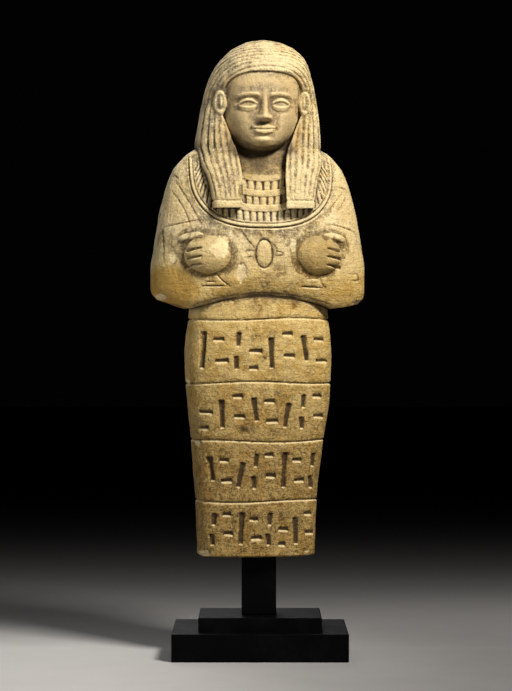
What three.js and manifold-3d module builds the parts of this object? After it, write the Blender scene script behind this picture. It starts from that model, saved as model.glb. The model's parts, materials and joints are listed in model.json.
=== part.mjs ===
// A stone ushabti, broken off below the knees, on a black stepped display stand.
// Millimetres, +Z up. The figure looks towards -Y. The origin is the middle of the stand's underside.
//
// The figure is one solid. It is joined from lofted masses (legs, torso with folded arms, wig, lappets,
// head, neck, fists), and its carving is then cut with V-shaped wedges that follow lines on its skin.

import * as THREE from 'three';
import { LoftGeometry } from 'three/addons/geometries/LoftGeometry.js';
import { mergeVertices } from 'three/addons/utils/BufferGeometryUtils.js';
import Module from 'manifold-3d';

const { smoothstep, lerp, clamp, degToRad } = THREE.MathUtils;

// ---------------------------------------------------------------- driving dimensions

const BASE = { width: 75.5, depth: 54.6, height: 12, edge: 0.6 };
const STEP = { width: 53, depth: 38, height: 6 };
const POST = { width: 15, depth: 15, height: 25.2, edge: 0.4 };
const BASE_OFFSET = 1;                     // the figure's axis stands this far to one side of the base's
const SEAT_GAP = 0.3;                      // the figure's underside over the post's top

const FIGURE = { height: 224, turn: 7 };   // degrees, turned on its post towards +X

// ---------------------------------------------------------------- profiles of the figure
// Each profile is a list of [height above the figure's underside, distance from its axis].

const LEGS = {
  top: 114,
  width: [[0, 25.5], [24, 26.4], [50, 28.8], [66, 30.7], [84, 31.8], [94, 31.4], [102, 30.4], [114, 29.4]],
  front: [[0, 15], [24, 15.8], [50, 17.3], [80, 18.7], [100, 19.1], [108, 19.1], [114, 18]],
  back: [[0, 14.5], [24, 15], [50, 16.2], [80, 17], [114, 16]],
  squareness: 2.8,
  edge: 0.9,
  sway: { shift: -0.9, from: 66, to: 22 },      // the foot end stands a little to one side
};

const TORSO = {
  bottom: 107,
  top: 177,
  width: [[107, 44], [109, 46.1], [113, 46.8], [122, 46.8], [134, 45.2], [150, 42.5], [160, 39.9],
    [167, 37.2], [171, 34], [174, 31], [177, 26]],
  front: [[107, 18.6], [109, 19.9], [113, 21.4], [120, 22.8], [128, 23.1], [140, 22.3], [150, 21],
    [158, 19], [164, 16.8], [170, 13.5], [177, 8]],
  back: [[107, 15.5], [109, 17], [113, 18.2], [125, 19.2], [140, 19.6], [155, 18.6], [165, 16],
    [172, 12.5], [177, 9]],
  squareness: 2.5,
  arch: { lift: 5, halfWidth: 30, fade: 16 },   // the forearms' lower edge rises in the middle
  elbow: { from: 31, left: 0.3, right: 0.16 },  // and towards the elbows, more on one side
};

const WIG = {
  bottom: 150,                              // where the hair ends on the back
  top: 224,
  width: [[150, 22.5], [160, 24.5], [170, 27], [178, 27.6], [186, 26.6], [194, 25.5], [200, 24.3],
    [207, 22.3], [212, 20.3], [215, 18.6], [218, 15.8], [220.5, 12.4], [222.6, 8], [223.6, 4.6], [224, 1.2]],
  front: [[150, 9], [176, 9.5], [190, 10], [196, 11.5], [200, 14], [203, 17], [206, 18.9], [208.5, 19.4],
    [212, 18.7], [215.5, 16.6], [218.5, 13.6], [221, 10], [222.8, 6.6], [224, 1]],
  back: [[150, 21.6], [156, 22.3], [170, 22], [186, 22.3], [200, 22], [208.5, 20.2], [213, 17.8],
    [217, 14.7], [220.5, 10.6], [222.8, 6.6], [224, 1]],
  squareness: 2.2,
  strandDepth: 0.75,
  flutesFade: [199, 206],
  arcs: { first: 211, pitch: 2.6, count: 4, drop: 5.5, halfWidth: 17, power: 4, depth: 0.7, width: 1.1 },
};

const WINDOW = { halfWidth: 17.3, springing: 199, crown: 208.5, bottom: 165, back: -9, squareness: 2.5 };

const HEAD = {
  // Set out by the artist's thirds: hairline to brow, brow to nose base and nose base to chin are equal.
  chin: 176,
  hairline: 208.5,
  width: [[174.4, 3], [175.2, 6.6], [176.5, 9.6], [178.5, 12.3], [181.5, 14.7], [185, 16.3], [190, 17.3],
    [196, 17.7], [202, 17.2], [208, 16], [214, 12.5]],
  front: [[174.4, 12], [175.2, 15.6], [176.5, 17.8], [179, 19.1], [183, 19.5], [190, 19.3], [197, 19.2],
    [203, 18.9], [208, 17.8], [214, 14.5]],
  back: 8,
  squareness: 2.35,
  lean: 0.04,                               // sideways shift for each millimetre of height above the chin
  crown: { shift: 0.9, from: 206, to: 224 },    // and a little more at the crown
};

const FACE = { eye: { x: 7, halfWidth: 3.6, halfHeight: 1.1, fromBrow: 0.32 }, mouth: 4.2 };

const NECK = { bottom: 158, top: 180, width: 10.6, front: 12, back: 6, flare: 3 };

const LAPPET = {
  end: 148.8,
  top: 197,
  inner: [[149, 9.3], [172, 9.2], [178, 11], [184, 14.6], [190, 17], [197, 17.6]],
  outer: [[149, 21.8], [156, 22.4], [163, 24], [170, 26.4], [178, 27.4], [186, 26.6], [197, 24.6]],
  front: [[149, 26], [156, 25.2], [163, 22.6], [170, 18.8], [178, 14.6], [186, 11.4], [197, 9.2]],
  side: [[149, 20], [163, 14], [170, 8], [178, 0], [197, 0]],
  squareness: [[149, 5], [163, 4], [172, 2.6], [178, 2.1], [197, 2]],
  strandDepth: 0.7,
  band: 3.9,
};

const COLLAR = {
  // Curves of the collar are drawn about this height on the chest. Half width and squareness grow with the drop.
  centre: 168,
  halfWidth: (drop) => 9.5 + 0.8 * drop,
  squareness: (drop) => 2 + 0.6 * clamp((drop - 11) / 14, 0, 1),
  rim: [27, 25],
  lines: [18.6, 12, 4.2],                   // above the rows of beads
  lineReach: 9.2,
  beadRows: [[24.2, 20.1], [17, 13.7], [10.6, 7]],
  beadPitch: 3.2,
  lineWidth: 0.9,
  lineDepth: 0.6,
};

const FIST = { x: 23.8, z: 129.6, depth: 19.2, radius: [10.2, 5.9, 8.6], turn: -10, fingers: [132.2, 128.6, 125] };
const THUMB = { x: 31, z: 137.2, depth: 18.4, length: 12.6, radius: 2, droop: 10, turn: 32 };
const PENDANT = { z: 130, halfWidth: 3.5, halfHeight: 5.8 };
const EAR = { x: 18.5, y: -9.4, z: 195.5, radius: [1.9, 3.3, 5.8], splay: 48 };

const BAND_LINES = [102.2, 75, 49.9, 24];
const INSCRIPTION = {
  columns: 8,
  reach: 0.92,                              // of the half width
  height: 0.72,                             // of the half height of a band
  // The main stroke of each kind of column: along the cell, up the band, half length and degrees from upright.
  kinds: [
    [0, 0.05, 0.84, 3], [0.08, -0.42, 0.42, 87], [0.04, 0.12, 0.6, -9], [0.05, 0.5, 0.34, 5],
    [0.06, 0, 0.42, 92], [0, -0.1, 0.7, -2], [0.06, -0.2, 0.38, 91], [0, -0.16, 0.62, 11],
  ],
  order: [0, 1, 3, 4, 5, 6, 2, 1, 7, 3, 6],
  shift: 3,                                 // from one band to the next
  strokeWidth: 1.5,
  strokeDepth: 0.9,
};

const FIGURE_FLOOR = BASE.height + STEP.height + POST.height + SEAT_GAP;

// ---------------------------------------------------------------- helpers

// A smooth curve through [height, value] pairs that never overshoots them.
function profile(pairs) {
  const slopes = pairs.slice(1).map(([h, v], i) => (v - pairs[i][1]) / (h - pairs[i][0]));
  const tangents = pairs.map((_, i) => {
    const before = slopes[i - 1] ?? slopes[i];
    const after = slopes[i] ?? slopes[i - 1];
    return before * after <= 0 ? 0 : (2 * before * after) / (before + after);
  });
  return (height) => {
    const h = clamp(height, pairs[0][0], pairs.at(-1)[0]);
    const i = Math.min(pairs.findLastIndex(([at]) => at <= h), pairs.length - 2);
    const span = pairs[i + 1][0] - pairs[i][0];
    const t = (h - pairs[i][0]) / span;
    return pairs[i][1] * (1 + 2 * t) * (1 - t) ** 2 + pairs[i + 1][1] * t * t * (3 - 2 * t)
      + span * (tangents[i] * t * (1 - t) ** 2 - tangents[i + 1] * t * t * (1 - t));
  };
}

const around = (columns) => Array.from({ length: columns }, (_, i) => (i / columns) * 2 * Math.PI);

const signedPower = (value, power) => Math.sign(value) * Math.abs(value) ** power;

// One horizontal outline of a rounded body: a superellipse with its own depth in front and behind.
function outline(z, { width, front, back, squareness }, angles, flute = () => 0) {
  return angles.map((angle, i) => {
    const across = signedPower(Math.cos(angle), 2 / squareness);
    const along = signedPower(Math.sin(angle), 2 / squareness);
    const shrink = 1 - flute(i) / width;
    return new THREE.Vector3(width * across * shrink, (along < 0 ? front : back) * along * shrink, z);
  });
}

const loft = (sections) => new LoftGeometry(sections, { capStart: true, capEnd: true });

const wasm = await Module();
wasm.setup();

function solidOf(geometry) {
  const bare = new THREE.BufferGeometry().setAttribute('position', geometry.getAttribute('position'));
  bare.setIndex(geometry.index);
  const merged = mergeVertices(bare, 1e-4);
  return new wasm.Manifold(new wasm.Mesh({
    numProp: 3,
    vertProperties: merged.attributes.position.array,
    triVerts: new Uint32Array(merged.index.array),
  }));
}

function geometryOf(solid) {
  const { vertProperties, triVerts } = solid.getMesh();
  const geometry = new THREE.BufferGeometry();
  geometry.setAttribute('position', new THREE.BufferAttribute(vertProperties, 3));
  geometry.setIndex(new THREE.BufferAttribute(triVerts, 1));
  geometry.computeVertexNormals();
  return geometry;
}

const joined = (solids) => solids.reduce((whole, next) => whole.add(next));
const onBothSides = (make) => [make(1), make(-1)];

// ---------------------------------------------------------------- masses of the figure

function legs() {
  const [width, front, back] = [LEGS.width, LEGS.front, LEGS.back].map(profile);
  const at = (z, inset) => outline(z, {
    width: width(z) - inset, front: front(z) - inset, back: back(z) - inset, squareness: LEGS.squareness,
  }, around(22));
  const heights = [LEGS.edge, 26, 52, 76, 94, LEGS.top];
  const sections = [at(0, LEGS.edge), ...heights.map((z) => at(z, 0))];
  const { shift, from, to } = LEGS.sway;
  for (const point of sections.flat()) point.x += shift * smoothstep(-point.z, -from, -to);
  return loft(sections);
}

function torso() {
  const [width, front, back] = [TORSO.width, TORSO.front, TORSO.back].map(profile);
  const { lift, halfWidth, fade } = TORSO.arch;
  const heights = [107, 107.9, 110, 114.5, 124, 138, 150, 159, 165, 170, 174, TORSO.top];
  return loft(heights.map((height) => {
    const ring = outline(height, {
      width: width(height), front: front(height), back: back(height), squareness: TORSO.squareness,
    }, around(28));
    const low = 1 - smoothstep(height, TORSO.bottom, TORSO.bottom + fade);
    for (const point of ring) {
      if (point.y < 0) point.z += low * lift * Math.max(0, 1 - (point.x / halfWidth) ** 2);
      const slope = point.x < 0 ? TORSO.elbow.left : TORSO.elbow.right;
      point.z += low * slope * Math.max(0, Math.abs(point.x) - TORSO.elbow.from);
    }
    return ring;
  }));
}

const lean = (z) => Math.max(0, z - HEAD.chin) * HEAD.lean
  + HEAD.crown.shift * smoothstep(z, HEAD.crown.from, HEAD.crown.to);
const leaning = (sections) => sections.map((ring) => ring.map((p) => p.setX(p.x + lean(p.z))));

// Angles round the wig, from +X: every second one is the bottom of a groove between two strands.
// Strands are at their true width at the sides, and broader on the back and in front, over the face.
function strandAngles() {
  const stretch = (from, to, grooves) => Array.from({ length: 2 * grooves }, (_, i) => (
    degToRad(lerp(from, to, i / (2 * grooves)))));
  return [
    ...stretch(0, 22, 2), ...stretch(22, 158, 6), ...stretch(158, 180, 2),
    ...stretch(180, 228, 6), ...stretch(228, 312, 4), ...stretch(312, 360, 6),
  ];
}

function wig() {
  const [width, front, back] = [WIG.width, WIG.front, WIG.back].map(profile);
  const angles = strandAngles();
  const heights = [151.2, 170, 186, 199, 204, 208.5, 212.5, 216, 219, 221.5, 223.4, WIG.top];
  const ring = (z, inset) => outline(z, {
    width: width(z) - inset, front: front(z) - inset, back: back(z) - inset, squareness: WIG.squareness,
  }, angles, (i) => (i % 2) * WIG.strandDepth * (1 - smoothstep(z, ...WIG.flutesFade)));
  return solidOf(loft(leaning([ring(WIG.bottom, 1), ...heights.map((z) => ring(z, 0))])))
    .subtract(solidOf(faceWindow()));
}

// The opening that the face looks out of: a flat-topped arch, cut in from the front.
function faceWindow() {
  const { halfWidth, springing, crown, bottom, back, squareness } = WINDOW;
  const shape = new THREE.Shape();
  shape.moveTo(-halfWidth, bottom);
  shape.lineTo(halfWidth, bottom);
  const steps = 16;
  for (let i = 0; i <= steps; i++) {
    const angle = (i / steps) * Math.PI;
    shape.lineTo(
      halfWidth * signedPower(Math.cos(angle), 2 / squareness),
      springing + (crown - springing) * Math.sin(angle) ** (2 / squareness),
    );
  }
  const reach = 40;
  return new THREE.ExtrudeGeometry(shape, { depth: reach, bevelEnabled: false })
    .rotateX(Math.PI / 2)
    .translate(lean(crown), back, 0);
}

function faceThirds() {
  const third = (HEAD.hairline - HEAD.chin) / 3;
  const brow = HEAD.hairline - third;
  const noseBase = HEAD.chin + third;
  return {
    third, brow, noseBase, eyeX: FACE.eye.x, eyeHeight: brow - FACE.eye.fromBrow * third,
    mouthHeight: noseBase - third / 3,
  };
}

// Height of the features over the plain oval of the face, for a point across (x) and up (z).
function features(x, z) {
  const { brow, noseBase, eyeX, eyeHeight, mouthHeight } = faceThirds();
  const mound = (cx, cz, rx, rz) => Math.exp(-(((Math.abs(x) - cx) / rx) ** 2) - ((z - cz) / rz) ** 2);
  const down = clamp((brow - z) / (brow - noseBase - 1.2), 0, 1);
  const bridge = lerp(0.6, 4.6, down ** 1.2) * (1 - smoothstep(-z, -noseBase - 1, -noseBase + 0.4));
  const nose = z > brow ? 0 : bridge * Math.exp(-((x / lerp(1.7, 2.5, down)) ** 2));
  const browArch = brow + 0.4 - 0.06 * (Math.abs(x) - 6.4) ** 2;
  return nose
    + 1.1 * mound(2.9, noseBase + 1.4, 1.2, 1.3)
    + 0.9 * mound(6.4, browArch, 4.6, 1.2)
    - 1.9 * mound(eyeX, eyeHeight, 4.2, 2.6)
    + 1.5 * mound(eyeX, eyeHeight - 0.2, 2.8, 1.4)
    + 0.9 * mound(0, mouthHeight, 6.5, 4)
    + 0.8 * mound(0, mouthHeight + 1, 3.6, 0.8)
    + 0.9 * mound(0, mouthHeight - 1.2, 3.2, 0.9)
    + 1.2 * mound(0, HEAD.chin + 2.6, 4.2, 2.2);
}

function head() {
  const [width, front] = [HEAD.width, HEAD.front].map(profile);
  // Columns are closest in the middle of the face, and the hidden back has only two.
  const angles = curveOf(28, (t) => {
    const out = 2 * t - 1;
    return 1.5 * Math.PI + (Math.PI / 2) * (0.7 * out + 0.3 * out ** 3);
  }).concat([2.3 * Math.PI, 2.7 * Math.PI]);
  const heights = [174.4, 175.2, 176.6, 178.6, 180.4, 181.6, 182.6, 183.8, 185.6, 187, 188.4, 191,
    193, 194.6, 196.2, 197.8, 200, 204, 214];
  return loft(leaning(heights.map((z) => {
    const ring = outline(z, {
      width: width(z), front: front(z), back: HEAD.back, squareness: HEAD.squareness,
    }, angles);
    for (const point of ring) {
      if (point.y < 0) point.y -= features(point.x, z) * smoothstep(-point.y, 2, 10);
    }
    return ring;
  })));
}

function neck() {
  const at = (z) => outline(z, {
    width: NECK.width, front: NECK.front + NECK.flare * smoothstep(-z, -168, -NECK.bottom), back: NECK.back,
    squareness: 2.1,
  }, around(20));
  return loft([NECK.bottom, 164, NECK.top].map(at));
}

// One front fall of hair: strands start at its inner edge and are set off at equal widths round the outside.
function lappet(side) {
  const [inner, outer, front, edge, squareness] = [LAPPET.inner, LAPPET.outer, LAPPET.front, LAPPET.side,
    LAPPET.squareness].map(profile);
  const strands = 8;
  const heights = [LAPPET.end, LAPPET.end + 0.9, LAPPET.end + LAPPET.band, LAPPET.end + LAPPET.band + 0.5,
    LAPPET.end + LAPPET.band + 1, 161, 170, 179, 187, LAPPET.top];
  const sections = heights.map((z, row) => {
    const inset = row === 0 ? 0.9 : row === 3 ? 0.7 : 0;
    const curve = new THREE.SplineCurve(Array.from({ length: 25 }, (_, i) => {
      const angle = (i / 24) * (Math.PI / 2);
      return new THREE.Vector2(
        inner(z) + (outer(z) - inner(z)) * Math.sin(angle) ** (2 / squareness(z)),
        -edge(z) - (front(z) - edge(z)) * Math.cos(angle) ** (2 / squareness(z)),
      );
    }));
    const carved = z < LAPPET.end + LAPPET.band + 0.8 ? 0 : LAPPET.strandDepth;
    const ring = [];
    for (let i = 0; i <= 2 * strands; i++) {
      const at = i / (2 * strands);
      const tangent = curve.getTangentAt(at);
      const point = curve.getPointAt(at);
      const inwards = inset + (i % 2 ? carved : 0);
      ring.push(new THREE.Vector3(point.x - tangent.y * inwards, point.y + tangent.x * inwards, z));
    }
    ring.push(new THREE.Vector3(outer(z) - 4, 2, z), new THREE.Vector3(inner(z) + 0.8, 2, z));
    return ring;
  });
  // Both sides wind counterclockwise from above, so the left one is mirrored and turned round.
  for (const ring of sections) {
    for (const point of ring) point.x = point.x * side + lean(point.z);
    if (side < 0) ring.reverse();
  }
  return loft(sections);
}

function ball(radii, position, columns, rows) {
  return new THREE.SphereGeometry(1, columns, rows).scale(...radii).translate(...position);
}

function fist(side) {
  const hand = ball(FIST.radius, [0, 0, 0], 14, 9)
    .rotateZ(side * degToRad(FIST.turn))
    .translate(side * FIST.x, -FIST.depth, FIST.z);
  const thumb = ball([THUMB.length / 2, THUMB.radius, THUMB.radius], [0, 0, 0], 8, 6)
    .rotateY(side * degToRad(THUMB.droop))
    .rotateZ(side * degToRad(THUMB.turn))
    .translate(side * THUMB.x, -THUMB.depth, THUMB.z);
  return solidOf(hand).add(solidOf(thumb));
}

function ear(side) {
  return ball(EAR.radius, [0, 0, 0], 8, 6)
    .rotateZ(-side * degToRad(EAR.splay))
    .translate(side * EAR.x + lean(EAR.z), EAR.y, EAR.z);
}

// ---------------------------------------------------------------- carving

// Finds points on the figure's skin as seen from the front, so that a drawn line can be laid on it.
function skinOf(solid) {
  const mesh = new THREE.Mesh(geometryOf(solid));
  const ray = new THREE.Raycaster();
  return (x, z) => {
    ray.set(new THREE.Vector3(x, -80, z), new THREE.Vector3(0, 1, 0));
    const [hit] = ray.intersectObject(mesh);
    return hit && { point: hit.point, normal: hit.face.normal };
  };
}

// A wedge along a line of skin points: wide above the skin and sharp below it, shallow at its two ends.
function wedge(skin, line, width, depth) {
  const found = line.map(([x, z]) => skin(x, z));
  if (found.length < 2 || found.some((at) => !at)) return null;
  const lift = 0.5;
  const sections = found.map(({ point, normal }, i) => {
    const before = found[Math.max(0, i - 1)];
    const after = found[Math.min(found.length - 1, i + 1)];
    const outward = before.normal.clone().add(normal).add(after.normal).setY(Math.min(-0.2, normal.y)).normalize();
    const along = after.point.clone().sub(before.point).normalize();
    const across = along.clone().cross(outward).normalize();
    const atEnd = i === 0 || i === found.length - 1;
    const halfWidth = (width / 2) * ((depth + lift) / depth) * (atEnd ? 0.6 : 1);
    return [
      point.clone().addScaledVector(across, halfWidth).addScaledVector(outward, lift),
      point.clone().addScaledVector(outward, -depth * (atEnd ? 0.35 : 1)),
      point.clone().addScaledVector(across, -halfWidth).addScaledVector(outward, lift),
    ];
  });
  return solidOf(loft(sections));
}

const straight = (from, to, steps) => Array.from({ length: steps + 1 }, (_, i) => [
  lerp(from[0], to[0], i / steps), lerp(from[1], to[1], i / steps)]);

const curveOf = (steps, at) => Array.from({ length: steps + 1 }, (_, i) => at(i / steps));

// The point of the collar curve with this drop, at an angle from straight down.
function collarPoint(drop, angle) {
  const power = 2 / COLLAR.squareness(drop);
  return [COLLAR.halfWidth(drop) * signedPower(Math.sin(angle), power), COLLAR.centre - drop * Math.cos(angle) ** power];
}

function collarLines() {
  const lines = [];
  for (const drop of COLLAR.rim) {
    lines.push(curveOf(10, (t) => collarPoint(drop, lerp(-1.5, 1.5, t))));
  }
  for (const drop of COLLAR.lines) {
    const reach = Math.asin(Math.min(0.9, COLLAR.lineReach / COLLAR.halfWidth(drop)));
    lines.push(curveOf(4, (t) => collarPoint(drop, lerp(-reach, reach, t))));
  }
  return lines;
}

function beadLines() {
  const lines = [];
  COLLAR.beadRows.forEach(([low, high], row) => {
    const middle = (low + high) / 2;
    const step = COLLAR.beadPitch / (0.55 * (COLLAR.halfWidth(middle) + middle));
    const reach = row === 0 ? 1.5 : Math.asin(9 / COLLAR.halfWidth(middle));
    for (let angle = step / 2; angle < reach; angle += step) {
      const [x, z] = collarPoint(middle, angle);
      const underHair = x > 9 && z > LAPPET.end - 1 && x < 23.6;
      if (underHair) continue;
      for (const side of [1, -1]) {
        lines.push([collarPoint(low, side * angle), collarPoint(high, side * angle)]);
      }
    }
  });
  return lines;
}

function pendantLines() {
  const half = (side) => curveOf(4, (t) => [
    side * PENDANT.halfWidth * Math.sin(t * Math.PI), PENDANT.z + PENDANT.halfHeight * Math.cos(t * Math.PI)]);
  return [half(1), half(-1), straight([-8.5, 139.5], [-4, 132.5], 2)];
}

function fingerLines() {
  const lines = [];
  for (const side of [1, -1]) {
    for (const z of FIST.fingers) {
      lines.push(straight([side * 28, z], [side * 32.6, z - 0.4], 1));
    }
  }
  return lines;
}

// The incised handles of the tools that lie over each shoulder, and the cuff across the upper arm.
function armLines() {
  return [1, -1].flatMap((side) => [
    [[36, 158], [33.5, 151], [30, 142.5]],
    [[32, 158.5], [29.5, 152], [26, 145], [25, 140.5]],
    [[40, 144.6], [34, 146], [26, 147.2]],
  ].map((line) => line.map(([x, z]) => [side * x, z])));
}

function wigLines() {
  const { first, pitch, count, drop, halfWidth, power } = WIG.arcs;
  return Array.from({ length: count }, (_, k) => {
    const crown = first + pitch * k;
    const reach = halfWidth - 0.9 * k;
    return curveOf(6, (t) => {
      const x = lerp(-reach, reach, t);
      return [x + lean(crown), crown - drop * (1 - 0.08 * k) * Math.abs(x / halfWidth) ** power];
    });
  });
}

function bandLines() {
  const width = profile(LEGS.width);
  return BAND_LINES.map((z, i) => {
    const reach = 0.985 * width(z);
    return curveOf(6, (t) => {
      const x = reach * Math.sin(lerp(-Math.PI / 2, Math.PI / 2, t));
      return [x, z + 0.5 * Math.sin(x / 9 + 2 * i)];
    });
  });
}

// Rows of single strokes stand for the inscription. The kinds of column follow each other by a repeating rule,
// so that no two neighbours make a sign.
function inscriptionLines() {
  const width = profile(LEGS.width);
  const edges = [...BAND_LINES, 0];
  const { columns, reach, height, kinds, order, shift } = INSCRIPTION;
  return BAND_LINES.flatMap((top, row) => {
    const middle = (top + edges[row + 1]) / 2;
    const halfHeight = (height * (top - edges[row + 1])) / 2;
    const cell = (2 * reach * width(middle)) / columns;
    return Array.from({ length: columns }, (_, column) => {
      const [along, up, length, lean] = kinds[order[(column + shift * row) % order.length]];
      const level = Math.abs(lean) > 45;
      const half = length * (level ? cell : halfHeight);
      const x = cell * (column + 0.5 + along - columns / 2);
      const z = middle + halfHeight * up;
      const [across, rise] = [half * Math.sin(degToRad(lean)), half * Math.cos(degToRad(lean))];
      return [[x - across, z - rise], [x + across, z + rise]];
    });
  });
}

function faceLines() {
  const { eyeHeight, eyeX, mouthHeight } = faceThirds();
  const lid = (side) => curveOf(4, (t) => [
    side * (eyeX + FACE.eye.halfWidth * (2 * t - 1)) + lean(eyeHeight),
    eyeHeight + FACE.eye.halfHeight * Math.sin(t * Math.PI)]);
  const lips = straight([-FACE.mouth, mouthHeight], [FACE.mouth, mouthHeight], 4)
    .map(([x, z]) => [x + lean(z), z]);
  return [lid(1), lid(-1), lips];
}

function carve(solid) {
  const skin = skinOf(solid);
  const fine = (lines) => lines.map((line) => wedge(skin, line, COLLAR.lineWidth, COLLAR.lineDepth));
  const bold = (lines) => lines.map((line) => (
    wedge(skin, line, INSCRIPTION.strokeWidth, INSCRIPTION.strokeDepth)));
  const tools = [
    ...fine([...collarLines(), ...beadLines(), ...pendantLines(), ...armLines(), ...bandLines()]),
    ...fine(faceLines()),
    ...bold([...inscriptionLines(), ...fingerLines()]),
    ...wigLines().map((line) => wedge(skin, line, WIG.arcs.width, WIG.arcs.depth)),
  ];
  const carved = tools.filter(Boolean).reduce((stone, tool) => stone.subtract(tool), solid);
  // Where two cuts meet they can leave a loose crumb, so only the largest body is kept.
  return carved.decompose().reduce((largest, body) => (body.volume() > largest.volume() ? body : largest));
}

function figureGeometry() {
  const blank = joined([
    solidOf(legs()), solidOf(torso()), wig(), solidOf(head()), solidOf(neck()),
    ...onBothSides((side) => solidOf(lappet(side))),
    ...onBothSides(fist),
    ...onBothSides((side) => solidOf(ear(side))),
  ]);
  return geometryOf(carve(blank));
}

// ---------------------------------------------------------------- stand

// A block with its long edges broken by a small chamfer, standing on its lowest face.
function block({ width, depth, height, edge = 0 }, bottom, offset = 0) {
  const ring = (inset, z) => [[1, -1], [1, 1], [-1, 1], [-1, -1]].map(([x, y]) => new THREE.Vector3(
    offset + x * (width / 2 - inset), y * (depth / 2 - inset), z));
  return loft([ring(0, bottom), ring(0, bottom + height - edge), ring(edge, bottom + height)]);
}

function baseGeometry() {
  const lower = solidOf(block(BASE, 0, BASE_OFFSET));
  const sunk = 2;
  const upper = solidOf(block({ ...STEP, height: STEP.height + sunk, edge: BASE.edge }, BASE.height - sunk, BASE_OFFSET));
  return geometryOf(lower.add(upper));
}

function postGeometry() {
  return block(POST, BASE.height + STEP.height, BASE_OFFSET / 2);
}

// ---------------------------------------------------------------- the object

const stone = new THREE.MeshStandardMaterial({ color: 0xc3a268, roughness: 0.82, metalness: 0 });
const blackPaint = new THREE.MeshStandardMaterial({ color: 0x0d0d0e, roughness: 0.38, metalness: 0 });

function named(name, geometry, material) {
  const mesh = new THREE.Mesh(geometry, material);
  mesh.name = name;
  return mesh;
}

const figure = new THREE.Group();
figure.position.z = FIGURE_FLOOR;
figure.rotation.z = degToRad(FIGURE.turn);
figure.add(named('ushabti_figure', figureGeometry(), stone));

const stand = new THREE.Group();
stand.add(named('stand_post', postGeometry(), blackPaint), named('stand_base', baseGeometry(), blackPaint));

const ushabti = new THREE.Group();
ushabti.add(figure, stand);

export default ushabti;
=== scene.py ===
"""A stone ushabti, broken off below the knees, on a black stepped stand.

The figure is carved as a sculptor would: plain masses are wrapped round their sections, joined into one block
of stone, and then collar, hands, bands and strokes are cut into its skin. The stand is modelled by hand.
Lengths in the figure's own space are millimetres, with its underside at zero and its front towards -Y.
"""

import json
import math
from contextlib import contextmanager
from types import SimpleNamespace as Sizes

import bpy
import numpy as np
from bpy.props import FloatProperty, FloatVectorProperty, IntProperty, PointerProperty
from bpy.types import Operator, Panel, PropertyGroup
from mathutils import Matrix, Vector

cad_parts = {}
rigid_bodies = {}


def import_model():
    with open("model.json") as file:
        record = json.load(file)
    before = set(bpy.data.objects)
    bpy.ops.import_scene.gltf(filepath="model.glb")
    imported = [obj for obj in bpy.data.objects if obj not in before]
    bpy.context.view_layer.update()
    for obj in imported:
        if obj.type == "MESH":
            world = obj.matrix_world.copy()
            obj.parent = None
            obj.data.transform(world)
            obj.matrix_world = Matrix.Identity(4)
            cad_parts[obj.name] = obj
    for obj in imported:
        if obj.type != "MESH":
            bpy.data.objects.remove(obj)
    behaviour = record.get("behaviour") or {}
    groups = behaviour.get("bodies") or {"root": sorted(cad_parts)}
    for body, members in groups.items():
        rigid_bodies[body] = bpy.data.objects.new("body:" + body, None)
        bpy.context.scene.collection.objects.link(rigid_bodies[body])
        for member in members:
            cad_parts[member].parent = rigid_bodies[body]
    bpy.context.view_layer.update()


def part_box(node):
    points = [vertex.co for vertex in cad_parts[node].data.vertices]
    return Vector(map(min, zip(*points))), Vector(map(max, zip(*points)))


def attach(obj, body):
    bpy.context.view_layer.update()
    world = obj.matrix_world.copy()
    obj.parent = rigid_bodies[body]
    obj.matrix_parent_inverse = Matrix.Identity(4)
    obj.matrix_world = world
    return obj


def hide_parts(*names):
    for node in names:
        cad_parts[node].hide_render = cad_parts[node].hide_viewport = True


bl_info = {
    "name": "Ushabti on a Stand",
    "version": (1, 0, 0),
    "blender": (4, 5, 0),
    "location": "3D View > Sidebar > Ushabti",
    "description": "Carves a stone ushabti and models its black stepped stand",
    "category": "Add Mesh",
}

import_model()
MM = 0.001


# -------- numbers and curves


def profile(*pairs):
    """A smooth curve through (height, value) pairs that never overshoots them."""
    at, value = np.array(pairs, float).T
    slope = np.diff(value) / np.diff(at)
    before, after = np.r_[slope[0], slope], np.r_[slope, slope[-1]]
    total = np.where(before * after > 0, before + after, 1)
    tangent = np.where(before * after > 0, 2 * before * after / total, 0)

    def curve(height):
        height = np.clip(height, at[0], at[-1])
        i = np.clip(np.searchsorted(at, height, side="right") - 1, 0, len(slope) - 1)
        span = at[i + 1] - at[i]
        t = (height - at[i]) / span
        ends = value[i] * (1 + 2 * t) * (1 - t) ** 2 + value[i + 1] * t * t * (3 - 2 * t)
        return ends + span * (tangent[i] * t * (1 - t) ** 2 - tangent[i + 1] * t * t * (1 - t))

    return curve


def smooth(value, low, high):
    """0 up to low, 1 from high on, and a smooth rise between them. low may be above high."""
    t = np.clip((value - low) / (high - low), 0, 1)
    return t * t * (3 - 2 * t)


def bump(x, z, at_x, at_z, wide, tall):
    """A round hump of height one."""
    return np.exp(-(((x - at_x) / wide) ** 2) - ((z - at_z) / tall) ** 2)


def hill(offset, half, power=2):
    """A ridge of height one along a line, at an offset from it. A higher power makes its back flatter."""
    return np.exp(-((offset / half) ** power))


def halved(low, high, rounds, outside):
    """The value at each place where outside() turns from true to false, found by halving."""
    for _ in range(rounds):
        middle = (low + high) / 2
        too_low = outside(middle)
        low, high = np.where(too_low, middle, low), np.where(too_low, high, middle)
    return middle


def turned(x, y, angle):
    """Places turned about the upright axis."""
    c, s = math.cos(angle), math.sin(angle)
    return x * c - y * s, x * s + y * c


def signed_power(value, power):
    return np.sign(value) * np.abs(value) ** power


def superellipse(angle, width, front, back, squareness):
    """A rounded outline with its own depth in front and behind."""
    across = signed_power(np.cos(angle), 2 / squareness)
    along = signed_power(np.sin(angle), 2 / squareness)
    return width * across, np.where(along < 0, front, back) * along


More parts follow.
